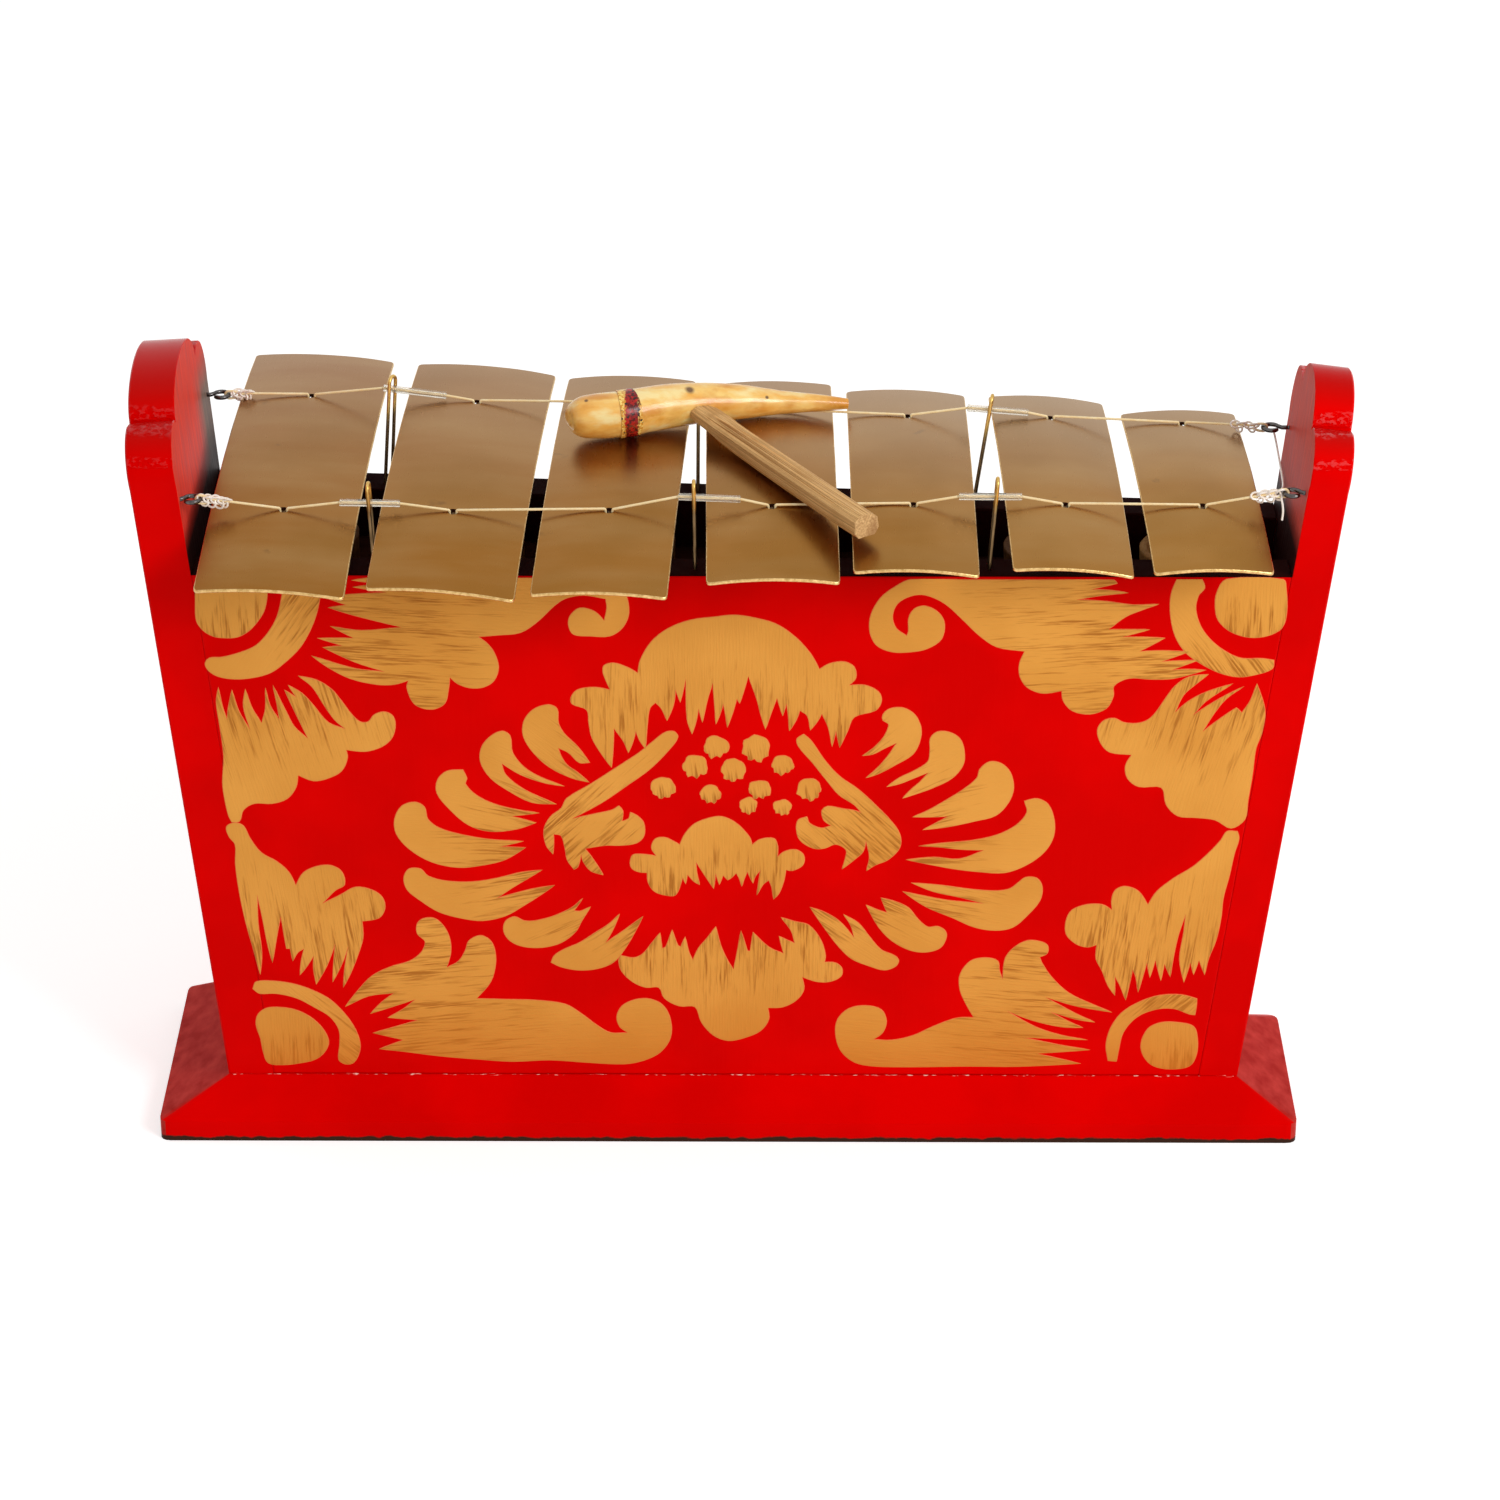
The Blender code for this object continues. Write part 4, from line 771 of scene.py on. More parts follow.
        (34, 93.5), (28.5, 102), (35.5, 99.5), (43.5, 97), (50, 87.5), (52.5, 78), (52, 73.5), (58, 73),
        (61.5, 69.5), (61, 64.5), (55, 61), (48, 61), (40, 64), (41, 56), (37, 49), (29.5, 44.5),
        (21.5, 44), (22, 36.5), (17.5, 29), (9, 24.5), (0, 22.5), (-8, 26), (-14.5, 34.5), (-18, 44.5),
        (-26.5, 45), (-34.5, 50), (-37.5, 57), (-44.5, 57), (-51.5, 60.5), (-57.5, 67.5),
    )),
}
DOTS = (
    (-6, 208, 6.3), (15, 207, 7.4), (-17, 196, 6.6), (3, 194, 6.4), (29, 197, 5.5), (-34, 183, 6.2),
    (-9, 179, 5.2), (17, 182, 5.8), (43, 182, 6.3), (11, 172, 4.7), (29, 171, 4.7),
)


def on_panel(u, v, out=0.0):
    """A point of the front panel: millimetres from its middle and up from its foot."""
    z = PLINTH_TOP + v * 0.001 * math.cos(FRONT_LEAN)
    return at(u * 0.001, front_y(z) - out / math.cos(FRONT_LEAN), z)


def brushed(points):
    """A stroke's outline, rounded along its lobes and left sharp at its tips and clefts."""
    count = len(points)
    flat = [Vector((u, v)) for u, v in points]
    corner = []
    for i, here in enumerate(flat):
        into, out = here - flat[i - 1], flat[(i + 1) % count] - here
        corner.append(into.angle(out) > CLEFT)
    outline = []
    for i in range(count):
        p1, p2 = flat[i], flat[(i + 1) % count]
        p0 = p1 if corner[i] else flat[i - 1]
        p3 = p2 if corner[(i + 1) % count] else flat[(i + 2) % count]
        chord = (p2 - p1).length
        t1 = (p2 - p0) * (chord / max((p2 - p1).length + (p1 - p0).length, 1e-6))
        t2 = (p3 - p1) * (chord / max((p3 - p2).length + (p2 - p1).length, 1e-6))
        steps = 1 if chord < 2 else 2 if chord < 4 else 4
        for k in range(steps):
            t = k / steps
            outline.append(p1 * (2 * t**3 - 3 * t**2 + 1) + t1 * (t**3 - 2 * t**2 + t)
                           + p2 * (3 * t**2 - 2 * t**3) + t2 * (t**3 - t**2))
    return outline


def streaky(name, stretch, contrast, dark, pale, shine, bump, relief="Strokes", **constants):
    """A material mottled between two colours and two roughnesses; bump is depth and strength."""
    made, tree, shader = finish(name, **constants)
    marks = use(tree, strokes_group, places(tree)[0], stretch, contrast)
    color = blend(tree, marks["Strokes"], dark, pale)
    feed(tree, shader, color, span(tree, marks["Strokes"], 0.0, 1.0, *shine), marks[relief], *bump)
    return made


made, tree, shader = finish("gold_paint", Specular_IOR_Level=0.35, Specular_Tint=(1.0, 0.50, 0.14, 1))
hair = add(tree, "ShaderNodeUVMap", uv_map="brush").outputs[0]
load = add(tree, "ShaderNodeUVMap", uv_map="load").outputs[0]
dry = add(tree, "ShaderNodeSeparateXYZ", {0: load}).outputs[0]
marks = use(tree, strokes_group, hair, (60, 900, 1), 2.4)["Strokes"]
broad = use(tree, strokes_group, hair, (22, 210, 1), 2.6)
thin = calc(tree, "MULTIPLY", marks, broad["Strokes"])
thin = calc(tree, "MULTIPLY", thin, span(tree, dry, 0.15, 0.95, 0.25, 1.25))
color = blend(tree, span(tree, broad["Patches"], 0.35, 0.65), (0.76, 0.320, 0.052, 1),
              (0.86, 0.385, 0.070, 1))
color = blend(tree, span(tree, thin, 0.19, 0.54, 0.0, 0.85), color, (0.42, 0.135, 0.016, 1))
low = span(tree, places(tree)[1][2], 0.085, 0.035, 0.0, 0.65)
color = blend(tree, low, color, (0.68, 0.225, 0.024, 1))
feed(tree, shader, color, span(tree, marks, 0.1, 0.9, 0.42, 0.62), marks, 0.00025, 0.5)
GOLD = made
# The gold runs out to nothing at its edges, where the red shines through it.
FEATHERED = streaky("gold_feathered", (500, 500, 500), 2.0, (0.80, 0.14, 0.045, 1), (0.88, 0.24, 0.085, 1),
                    (0.35, 0.55), (0.0001, 0.3), Specular_IOR_Level=0.10, Specular_Tint=PAINT_GLOSS)


def stroke(name, points, pull):
    """One raised stroke of paint; pull is the way the brush left it."""
    outline = brushed(points)
    if sum(a.x * b.y - b.x * a.y for a, b in zip(outline, outline[1:] + outline[:1])) < 0:
        outline.reverse()
    pull = Vector(pull).normalized()
    reach = [point.dot(pull) for point in outline]
    first, last = min(reach), max(reach)
    count = len(outline)
    # a stroke that ends at the panel's top edge gets no feathered rim above it
    tallest = max(point.y for point in outline)
    limit = tallest if tallest > CUT_OFF else tallest + 1
    edge = []
    for i, here in enumerate(outline):
        ahead = (outline[(i + 1) % count] - here).normalized() + (here - outline[i - 1]).normalized()
        out = here + Vector((ahead.y, -ahead.x)).normalized() * (FEATHER if ahead.length > 0.3 else 0.1)
        edge.append(Vector((out.x, min(out.y, limit))))
    mesh = bpy.data.meshes.new(name)
    shape = bmesh.new()
    top = [shape.verts.new(on_panel(*point, RELIEF)) for point in outline]
    low = [shape.verts.new(on_panel(*point)) for point in edge]
    flat = {}
    for verts in (top, low):
        for vert, point in zip(verts, outline):
            flat[vert] = point
    face = shape.faces.new(top)
    for i in range(count):
        j = (i + 1) % count
        shape.faces.new((low[i], low[j], top[j], top[i])).material_index = 1
    hair = shape.loops.layers.uv.new("brush")
    load = shape.loops.layers.uv.new("load")
    for side in shape.faces:
        for loop in side.loops:
            point = flat[loop.vert]
            along = point.dot(pull)
            loop[hair].uv = (along * 0.001, (point.x * pull.y - point.y * pull.x) * 0.001)
            loop[load].uv = ((along - first) / (last - first), 0.5)
    bmesh.ops.triangulate(shape, faces=[face])
    shape.to_mesh(mesh)
    shape.free()
    mesh.materials.append(GOLD)
    mesh.materials.append(FEATHERED)
    made = bpy.data.objects.new(name, mesh)
    scene.collection.objects.link(made)
    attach(made, "case")


for name, (pull, points) in STROKES.items():
    stroke(name, points, pull)
for number, (u, v, radius) in enumerate(DOTS):
    rim = []
    for k in range(30):
        turn = 2 * math.pi * k / 30
        uneven = noise.noise(Vector((number * 7.0, math.cos(turn) * 1.6, math.sin(turn) * 1.6)))
        hairy = math.sin(turn * 9 + number) * max(0.0, -math.sin(turn))
        reach = radius * (1 + 0.18 * uneven + 0.16 * hairy)
        rim.append((u + reach * math.cos(turn), v + reach * math.sin(turn)))
    stroke(f"dot_{number + 1}", rim, (0.1, -1))


# The resonators.
# Seven bamboo tubes, closed at the foot by a node of the cane and open below the keys, hung in
# the round holes of one plain board. The cane down in the case is painted dark as shade, and the
# last tube, lit between the keys, is painted pale: shaded and lit copies of one cane.
grain_group, given, place, result = mask_group("wood_grain", ("Grain", "Pores", "Stain"))
rings = bolder(grain_group, cloudy(grain_group, place, 1.0, 5.0, 0.4), given["Contrast"])
pores = span(grain_group, cloudy(grain_group, place, 5.0, 2.0), 0.56, 0.70)
stain = cloudy(grain_group, given["Vector"], 45.0, 3.0)
for key, value in (("Grain", rings), ("Pores", pores), ("Stain", stain)):
    grain_group.links.new(value, result[key])


def wood(name, stretch, dark, pale, stained, rough, contrast=1.6, bump=(0.0002, 0.4), sheen=0.35, uv=None):
    """Bare wood whose fibres run along the axis with the smallest stretch."""
    made, tree, shader = finish(name, Specular_IOR_Level=sheen)
    where = add(tree, "ShaderNodeUVMap", uv_map=uv).outputs[0] if uv else places(tree)[0]
    cut = use(tree, grain_group, where, stretch, contrast)
    color = blend(tree, cut["Grain"], dark, pale)
    color = blend(tree, span(tree, cut["Stain"], 0.52, 0.70, 0.0, 0.7), color, stained)
    color = blend(tree, span(tree, cut["Pores"], 0.0, 1.0, 0.0, 0.45), color, dark)
    gloss = span(tree, cut["Grain"], 0.0, 1.0, rough + 0.08, rough - 0.06)
    feed(tree, shader, color, gloss, cut["Grain"], *bump)
    return made


# the cane is painted dark as shade down in the case; the pale copy is the lit last tube
CANE = wood("bamboo_cane", (500, 500, 14), (0.10, 0.045, 0.018, 1), (0.20, 0.10, 0.040, 1),
            (0.08, 0.035, 0.014, 1), 0.60, sheen=0.06)
# the rack board is painted near black as shade, down in the case
BOARD = wood("rack_board", (14, 320, 320), (0.030, 0.008, 0.006, 1), (0.070, 0.022, 0.014, 1),
             (0.020, 0.006, 0.005, 1), 0.80, sheen=0.06)
LIT_CANE = wood("bamboo_cane_pale", (500, 500, 14), (0.30, 0.15, 0.045, 1), (0.62, 0.38, 0.15, 1),
                 (0.24, 0.11, 0.03, 1), 0.60, sheen=0.06)
TUBE_SIZES = ((.062, .054, .090), (.061, .054, .110), (.060, .053, .135), (.058, .051, .160),
              (.057, .049, .185), (.055, .047, .215), (.052, .046, .250))
TUBE_MOUTH = 0.330
CANE_WALL = 0.004
turns = [2 * math.pi * k / 48 for k in range(48)]
for number, (mouth, foot, low) in enumerate(TUBE_SIZES):
    name = f"resonator_tube_{number + 1}"
    first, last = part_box(name)
    middle = (first + last) / 2
    height = TUBE_MOUTH - low
    mouth, foot = mouth / 2, foot / 2
    section = [(0.0, foot - 0.0008), (0.0006, foot), (height * 0.30, foot + (mouth - foot) * 0.30),
               (height - 0.0005, mouth - 0.0001), (height, mouth - 0.0005), (height, mouth - 0.0036),
               (height - 0.0006, mouth - CANE_WALL), (0.008, foot - CANE_WALL), (0.006, foot - 0.006)]
    rings = [[Vector((middle.x + radius * math.cos(t), middle.y + radius * math.sin(t), low + up))
              for t in turns] for up, radius in section]
    piece(f"cane_{number + 1}", *skin(rings), LIT_CANE if number == 6 else CANE, slot="bamboo",
          nodes=(name,))
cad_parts["resonator_rack"].material_slots[0].material = BOARD


# The screw eyes.
# Four plated steel screw eyes, driven into the inner faces of the end boards, with their rings
# lying flat. The plating is shiny, its colour painted dark as a reflection of dark
# surroundings, and the thread goes into the paint.
EYE_RING_R = 0.0042
EYE_WIRE_R = 0.0012
THREAD_DEPTH = 0.009
RING_FROM = 158
RING_TO = -136
EYES = {
    "back_left_eye": (-0.2719, 0.1430, 0.3804),
    "front_left_eye": (-0.2735, 0.0125, 0.3777),
    "back_right_eye": (0.2860, 0.0990, 0.3814),
    "front_right_eye": (0.2891, 0.0150, 0.3812),
}
# the steel's dark colour is a painted reflection of dark surroundings
STEEL_DARK_REFLECTION = streaky("dark_reflecting_steel", (700, 700, 700), 1.4, (0.045, 0.040, 0.040, 1), (0.16, 0.15, 0.145, 1),
                  (0.14, 0.24), (0.0001, 0.2), "Patches", Metallic=1.0)


def sweep(points, radii, sides):
    """Rings round a path, carried along without twist."""
    path = [Vector(point) for point in points]
    turns = [2 * math.pi * k / sides for k in range(sides)]
    rings = []
    side = None
    for i, here in enumerate(path):
        before, after = path[max(i - 1, 0)], path[min(i + 1, len(path) - 1)]
        tangent = ((here - before).normalized() + (after - here).normalized()).normalized()
        if side is None:
            side = tangent.orthogonal().normalized()
        side = (side - tangent * side.dot(tangent)).normalized()
        other = tangent.cross(side)
        radius = radii[i] if isinstance(radii, (list, tuple)) else radii
        rings.append([here + (side * math.cos(t) + other * math.sin(t)) * radius for t in turns])
    return rings


for name, centre in EYES.items():
    side = 1.0 if centre[0] < 0 else -1.0
    face = left_x(centre[2], LEFT_THICK) if side > 0 else right_x(centre[2], RIGHT_THICK)
    path, widths = [], []
    start = face - side * THREAD_DEPTH - centre[0]
    for k in range(22):
        path.append(Vector((start + (-side * (EYE_RING_R + 0.0016) - start) * k / 21, 0, 0)))
        widths.append(EYE_WIRE_R * (0.98 if k % 2 or k >= 18 else 0.80))
    for k in range(41):
        angle = math.radians(RING_FROM + (RING_TO - RING_FROM) * k / 40)
        path.append(Vector((side * EYE_RING_R * math.cos(angle), EYE_RING_R * math.sin(angle), 0)))
        widths.append(EYE_WIRE_R * (0.99 if k < 39 else 0.85))
    rings = sweep([at(*centre) + point for point in path], widths, 14)
    piece(name + "_ring", *skin(rings), STEEL_DARK_REFLECTION, slot="plated_steel", nodes=(name,))


# The hairpin posts.
# Six hairpins of brass wire, pushed into drilled holes in the panels' top edges so that each
# pair of legs straddles a cord. They are golden above, and painted dark brown below as shade
# and dark reflection down in the case.
WIRE_R = 0.0010
POST_DEPTH = 0.012
SLEEVE_R = 0.0019
SLEEVE_BORE = 0.00085
SLEEVE_GAP = 0.00025
FRONT_POSTS = (
    ((-0.1819, 0.0208), (-0.1838, 0.0184, 0.3849), 4, (-0.1986, 0.3731), (-0.1676, 0.3726)),
    ((-0.0165, 0.0208), (-0.0169, 0.0183, 0.3864), 0, (-0.0248, 0.3768), (0.0070, 0.3755)),
    ((0.1354, 0.0208), (0.1387, 0.0182, 0.3883), 0, (0.1190, 0.3772), (0.1512, 0.3772)),
)
BACK_POSTS = (
    ((-0.1831, 0.1330), (-0.1794, 0.1400, 0.3935), 24, (-0.1845, 0.3862), (-0.1510, 0.3819)),
    ((-0.0165, 0.1225), (-0.0160, 0.1305, 0.3925), 0, (-0.0250, 0.3855), (0.0065, 0.3838)),
    ((0.1310, 0.1085), (0.1399, 0.1160, 0.3931), 8, (0.1267, 0.3855), (0.1588, 0.3829)),
)
ROWS = (("front", FRONT_POSTS, FRONT_TOP), ("back", BACK_POSTS, BACK_TOP))
SHADED_BELOW = 0.374
GOLDEN = 0.384


def post_path(base, top, turn_deg, z_base):
    """The middle of a hairpin's wire, up one leg, over and down the other."""
    foot = Vector((base[0], base[1], z_base))
    rise = Vector(top) - foot
    axis = rise.normalized()
    turn = math.radians(turn_deg)
    across = Vector((math.sin(turn), math.cos(turn), 0.0))
    across = (across - axis * across.dot(axis)).normalized()
    half = (SLEEVE_R + WIRE_R + SLEEVE_GAP) / math.cos(turn)
    bend = rise.length - WIRE_R - half
    path = [(-POST_DEPTH, half + 0.0004), (0.0, half + 0.0004), (bend - 0.012, half)]
    path += [(bend + half * math.sin(a), half * math.cos(a)) for a in (math.pi * k / 20 for k in range(11))]
    path += [(h, -s) for h, s in reversed(path[:-1])]
    return [at(*(foot + axis * h + across * s)) for h, s in path]


made, tree, shader = finish("brass_wire", Metallic=1.0)
where, apart = places(tree)
marks = use(tree, strokes_group, where, (900, 900, 90), 1.8)
bright = blend(tree, marks["Strokes"], (0.50, 0.29, 0.06, 1), (0.83, 0.56, 0.19, 1))
# painted shade and dark reflection on the legs down in the case
shaded_wire = blend(tree, marks["Strokes"], (0.05, 0.028, 0.012, 1), (0.30, 0.19, 0.09, 1))
height = calc(tree, "MULTIPLY_ADD", marks["Patches"], 0.010, apart[2])
color = blend(tree, span(tree, height, SHADED_BELOW, GOLDEN), shaded_wire, bright)
gloss = span(tree, marks["Strokes"], 0.0, 1.0, 0.26, 0.40)
feed(tree, shader, color, gloss, marks["Strokes"], 0.0001, 0.3)
BRASS_WIRE = made
for row, posts, z_base in ROWS:
    for number, (base, top, turn, _, _) in enumerate(posts):
        rings = sweep(post_path(base, top, turn, z_base), WIRE_R * 0.99, 14)
        name = f"{row}_post_{number + 1}"
        piece(name + "_hairpin", *skin(rings), BRASS_WIRE, slot="brass_wire", nodes=(name,))


# The keys.
# Seven bronze plates, hammered to an arch and crowned across, filed bright along the edges and
# rubbed with fine abrasive to a satin, each with two drilled holes. Small dents and stains remain.
KEY_SIZES = (
    ((-0.2276, 0.0195, 0.3688), (-0.2239, 0.1462, 0.3786), 0.0699, 0.0621, 0.0760, 0.044),
    ((-0.1406, 0.0195, 0.3679), (-0.1347, 0.1376, 0.3788), 0.0666, 0.0516, 0.0752, 0.070),
    ((-0.0605, 0.0195, 0.3687), (-0.0546, 0.1343, 0.3791), 0.0687, 0.0399, 0.0694, 0.0),
    ((0.0231, 0.0195, 0.3712), (0.0218, 0.1246, 0.3794), 0.0624, 0.0438, 0.0677, 0.0),
    ((0.0957, 0.0195, 0.3723), (0.0951, 0.1173, 0.3796), 0.0565, 0.0390, 0.0640, 0.040),
    ((0.1737, 0.0195, 0.3723), (0.1707, 0.1149, 0.3798), 0.0549, 0.0315, 0.0618, 0.085),
    ((0.2440, 0.0195, 0.3718), (0.2398, 0.1064, 0.3801), 0.0525, 0.0188, 0.0612, 0.017),
)
KEY_THICK = 0.0021
KEY_ARCH = 0.0365
KEY_CROWN = 0.0026
KEY_CORNER = 0.0030
HOLE_R = 0.0026
HOLE_CELL = 0.0048
WOBBLE = 0.00012
EDGE_BEVEL = 0.00045


def key_frame(number):
    """Origin, rotation, half length and hole stations of a key's top face."""
    front_hole, back_hole, over_front, over_back, width, _ = KEY_SIZES[number]
    front_hole, back_hole = Vector(front_hole), Vector(back_hole)
    flat = Vector((back_hole.x - front_hole.x, back_hole.y - front_hole.y, 0.0))
    half = (flat.length + over_front + over_back) / 2
    sagitta = KEY_ARCH * 2 * half
    tilt = math.atan2(back_hole.z - front_hole.z, flat.length)
    for _ in range(3):
        half = (flat.length + over_front + over_back) / 2 / math.cos(tilt)
        y_front = -half + over_front / math.cos(tilt)
        y_back = half - over_back / math.cos(tilt)
        z_front, z_back = -sagitta * (y_front / half) ** 2, -sagitta * (y_back / half) ** 2
        tilt = math.atan2(back_hole.z - front_hole.z - (z_back - z_front), flat.length)
    turn = Matrix.Rotation(-math.atan2(flat.x, flat.y), 3, "Z") @ Matrix.Rotation(tilt, 3, "X")
    origin = at(*(front_hole - turn @ Vector((0, y_front, z_front))))
    return origin, turn, half, sagitta, (y_front, y_back), width


def key_drop(x, y, half, sagitta, width, roll=0.0):
    """Height of a key's top face against its middle, from arch, crown and roll."""
    return -sagitta * (y / half) ** 2 - KEY_CROWN * (2 * x / width) ** 2 - roll * x


def stations_between(low, high, step):
    """Even places from low up to but without high."""
    count = max(1, round((high - low) / step))
    return [low + (high - low) * k / count for k in range(count)]


def key_shape(number):
    """Points and faces of a plate with rounded corners and two holes."""
    origin, turn, half, sagitta, holes, width = key_frame(number)
    roll = KEY_SIZES[number][5]
    edge = width / 2
    cell = [-HOLE_CELL, -HOLE_CELL / 2, 0.0, HOLE_CELL / 2]
    left = [-edge, -edge + KEY_CORNER / 2] + stations_between(-edge + KEY_CORNER, -HOLE_CELL, 0.0055)
    columns = left + cell + [-x for x in reversed(left + [-HOLE_CELL])]
    rows = [-half, -half + KEY_CORNER / 2]
    low = -half + KEY_CORNER
    for centre in holes:
        rows += stations_between(low, centre - HOLE_CELL, 0.0060) + [centre + y for y in cell]
        low = centre + HOLE_CELL
    rows += stations_between(low, half - KEY_CORNER, 0.0060)
    rows += [half - KEY_CORNER, half - KEY_CORNER / 2, half]
    across, along = len(columns), len(rows)
    middle = columns.index(0.0)
    centre_rows = [rows.index(value) for value in holes]

    def placed(x, y, level):
        """A point of the top (0) or the underside (1), with the corners rounded off."""
        dx, dy = abs(x) - (edge - KEY_CORNER), abs(y) - (half - KEY_CORNER)
        if dx > 0 and dy > 0:
            scale = max(dx, dy) / math.hypot(dx, dy)
            x = math.copysign(edge - KEY_CORNER + dx * scale, x)
            y = math.copysign(half - KEY_CORNER + dy * scale, y)
        wobble = noise.noise(Vector((x * 35, y * 35, number * 5.0))) * WOBBLE
        if abs(abs(x) - edge) < 1e-6:
            x -= math.copysign(0.00010 * (1 + noise.noise(Vector((y * 60, x * 9, number * 3.0)))), x)
        if abs(abs(y) - half) < 1e-6:
            y -= math.copysign(0.00015 * (1 + noise.noise(Vector((x * 70, y * 9, number * 4.0)))), y)
        z = key_drop(x, y, half, sagitta, width, roll) + wobble - WOBBLE
        return (x, y, z - level * (KEY_THICK - 0.0003))

    points = [placed(x, y, level) for level in (0, 1) for y in rows for x in columns]
    layer = across * along
    rim = {}
    for hole, centre in enumerate(holes):
        for level in (0, 1):
            for k in range(16):
                angle = math.pi * k / 8
                rim[hole, level, k] = len(points)
                points.append(placed(HOLE_R * math.cos(angle), centre + HOLE_R * math.sin(angle), level))

    def spot(level, j, i):
        return level * layer + j * across + i

    faces = []
    for j in range(along - 1):
        for i in range(across - 1):
            near = middle - 2 <= i <= middle + 1 and any(row - 2 <= j <= row + 1 for row in centre_rows)
            if near:
                continue
            top = (spot(0, j, i), spot(0, j, i + 1), spot(0, j + 1, i + 1), spot(0, j + 1, i))
            faces += [top, tuple(index + layer for index in reversed(top))]
    border = [(0, i) for i in range(across)] + [(j, across - 1) for j in range(1, along)]
    border += [(along - 1, i) for i in reversed(range(across - 1))]
    border += [(j, 0) for j in reversed(range(1, along - 1))]
    for (j0, i0), (j1, i1) in zip(border, border[1:] + border[:1]):
        faces.append((spot(1, j0, i0), spot(1, j1, i1), spot(0, j1, i1), spot(0, j0, i0)))
    square = [(0, 2), (1, 2), (2, 2), (2, 1), (2, 0), (2, -1), (2, -2), (1, -2), (0, -2),
              (-1, -2), (-2, -2), (-2, -1), (-2, 0), (-2, 1), (-2, 2), (-1, 2)]
    for hole, row in enumerate(centre_rows):
        for k in range(16):
            n = (k + 1) % 16
            a = (row + square[k][0], middle + square[k][1])
            b = (row + square[n][0], middle + square[n][1])
            faces.append((rim[hole, 0, k], spot(0, *a), spot(0, *b), rim[hole, 0, n]))
            faces.append((rim[hole, 1, n], spot(1, *b), spot(1, *a), rim[hole, 1, k]))
            faces.append((rim[hole, 0, k], rim[hole, 0, n], rim[hole, 1, n], rim[hole, 1, k]))
    return [origin + turn @ Vector(point) for point in points], faces


made, tree, shader = finish("bronze_plate", Metallic=1.0)
where, apart = places(tree)
rub = use(tree, strokes_group, where, (1100, 90, 400), 1.2)
haze = use(tree, strokes_group, where, (9, 36, 30), 1.8)
# the bronze is darker on the left keys and paler on the right ones
color = blend(tree, span(tree, apart[0], -0.27, 0.27), (0.290, 0.114, 0.014, 1), (0.378, 0.176, 0.036, 1))
stains = cloudy(tree, where, 46.0, 4.0, 0.8)
# paler again towards the backs of the keys, most on the right-hand ones
paler_back_right = calc(tree, "MULTIPLY", span(tree, apart[1], -0.06, 0.08),
            span(tree, apart[0], -0.20, 0.25, 0.12, 0.62))
spots = cloudy(tree, where, 130.0, 2.0)
for share, tone in ((span(tree, haze["Strokes"], 0.25, 0.9, 0.0, 0.42), (0.44, 0.27, 0.105, 1)),
                    (span(tree, haze["Patches"], 0.42, 0.66, 0.0, 0.55), (0.255, 0.110, 0.012, 1)),
                    (span(tree, stains, 0.70, 0.76, 0.0, 0.35), (0.12, 0.060, 0.018, 1)),
                    (paler_back_right, (0.48, 0.37, 0.25, 1)),
                    (span(tree, spots, 0.80, 0.88, 0.0, 0.45), (0.10, 0.055, 0.025, 1))):
    color = blend(tree, share, color, tone)
dents = calc(tree, "MULTIPLY_ADD", rub["Strokes"], 0.10, haze["Patches"])
feed(tree, shader, color, span(tree, rub["Strokes"], 0.0, 1.0, 0.25, 0.33), dents, 0.0006, 0.25)
BRONZE = made
FILED = streaky("filed_edge", (500, 500, 500), 1.8, (0.42, 0.24, 0.07, 1), (0.86, 0.60, 0.27, 1),
                (0.22, 0.40), (0.0002, 0.4), Metallic=1.0)
# the hole walls are painted near black as shade
HOLE_SHADE = streaky("drilled_hole", (500, 500, 500), 1.8, (0.020, 0.006, 0.004, 1), (0.060, 0.018, 0.010, 1),
                  (0.5, 0.7), (0.0002, 0.4), Metallic=1.0)
for number in range(7):
    name = f"key_{number + 1}"
    plate = piece(name + "_plate", *key_shape(number), BRONZE, name, 50, "bronze_plate", (name,))
    plate.data.materials.append(FILED)
    plate.data.materials.append(HOLE_SHADE)
    origin, turn, _, _, holes, _ = key_frame(number)
    back = turn.inverted()
    weights = plate.data.attributes.new("bevel_weight_edge", "FLOAT", "EDGE")
    flat = [back @ (vert.co - origin) for vert in plate.data.vertices]
    near = [min(math.hypot(point.x, point.y - hole) for hole in holes) < HOLE_R * 1.5 for point in flat]
    for side in plate.data.polygons:
        if abs((back @ side.normal).z) < 0.5:
            side.material_index = 2 if near[side.vertices[0]] else 1
    around = {}
    for side in plate.data.polygons:
        for key in side.edge_keys:
            around.setdefault(key, set()).add(side.material_index)
    for line in plate.data.edges:
        if around[tuple(sorted(line.vertices))] == {0, 1}:
            weights.data[line.index].value = 1.0
    edges = plate.modifiers.new("filed_edges", "BEVEL")
    edges.width = EDGE_BEVEL
    edges.segments = 2
    edges.limit_method = "WEIGHT"
    edges.material = 1


# The pegs under the keys.
# A short stick of split bamboo lies across the underside of each hole, and the cord goes
# round it, so that it holds the key up and cannot pull through.
PEG_R = 0.0011
PEG_LENGTH = 0.012
PEG_GAP = 0.00012
SPLIT = wood("split_peg", (40, 600, 600), (0.25, 0.14, 0.06, 1), (0.48, 0.31, 0.15, 1),
             (0.20, 0.11, 0.05, 1), 0.6)


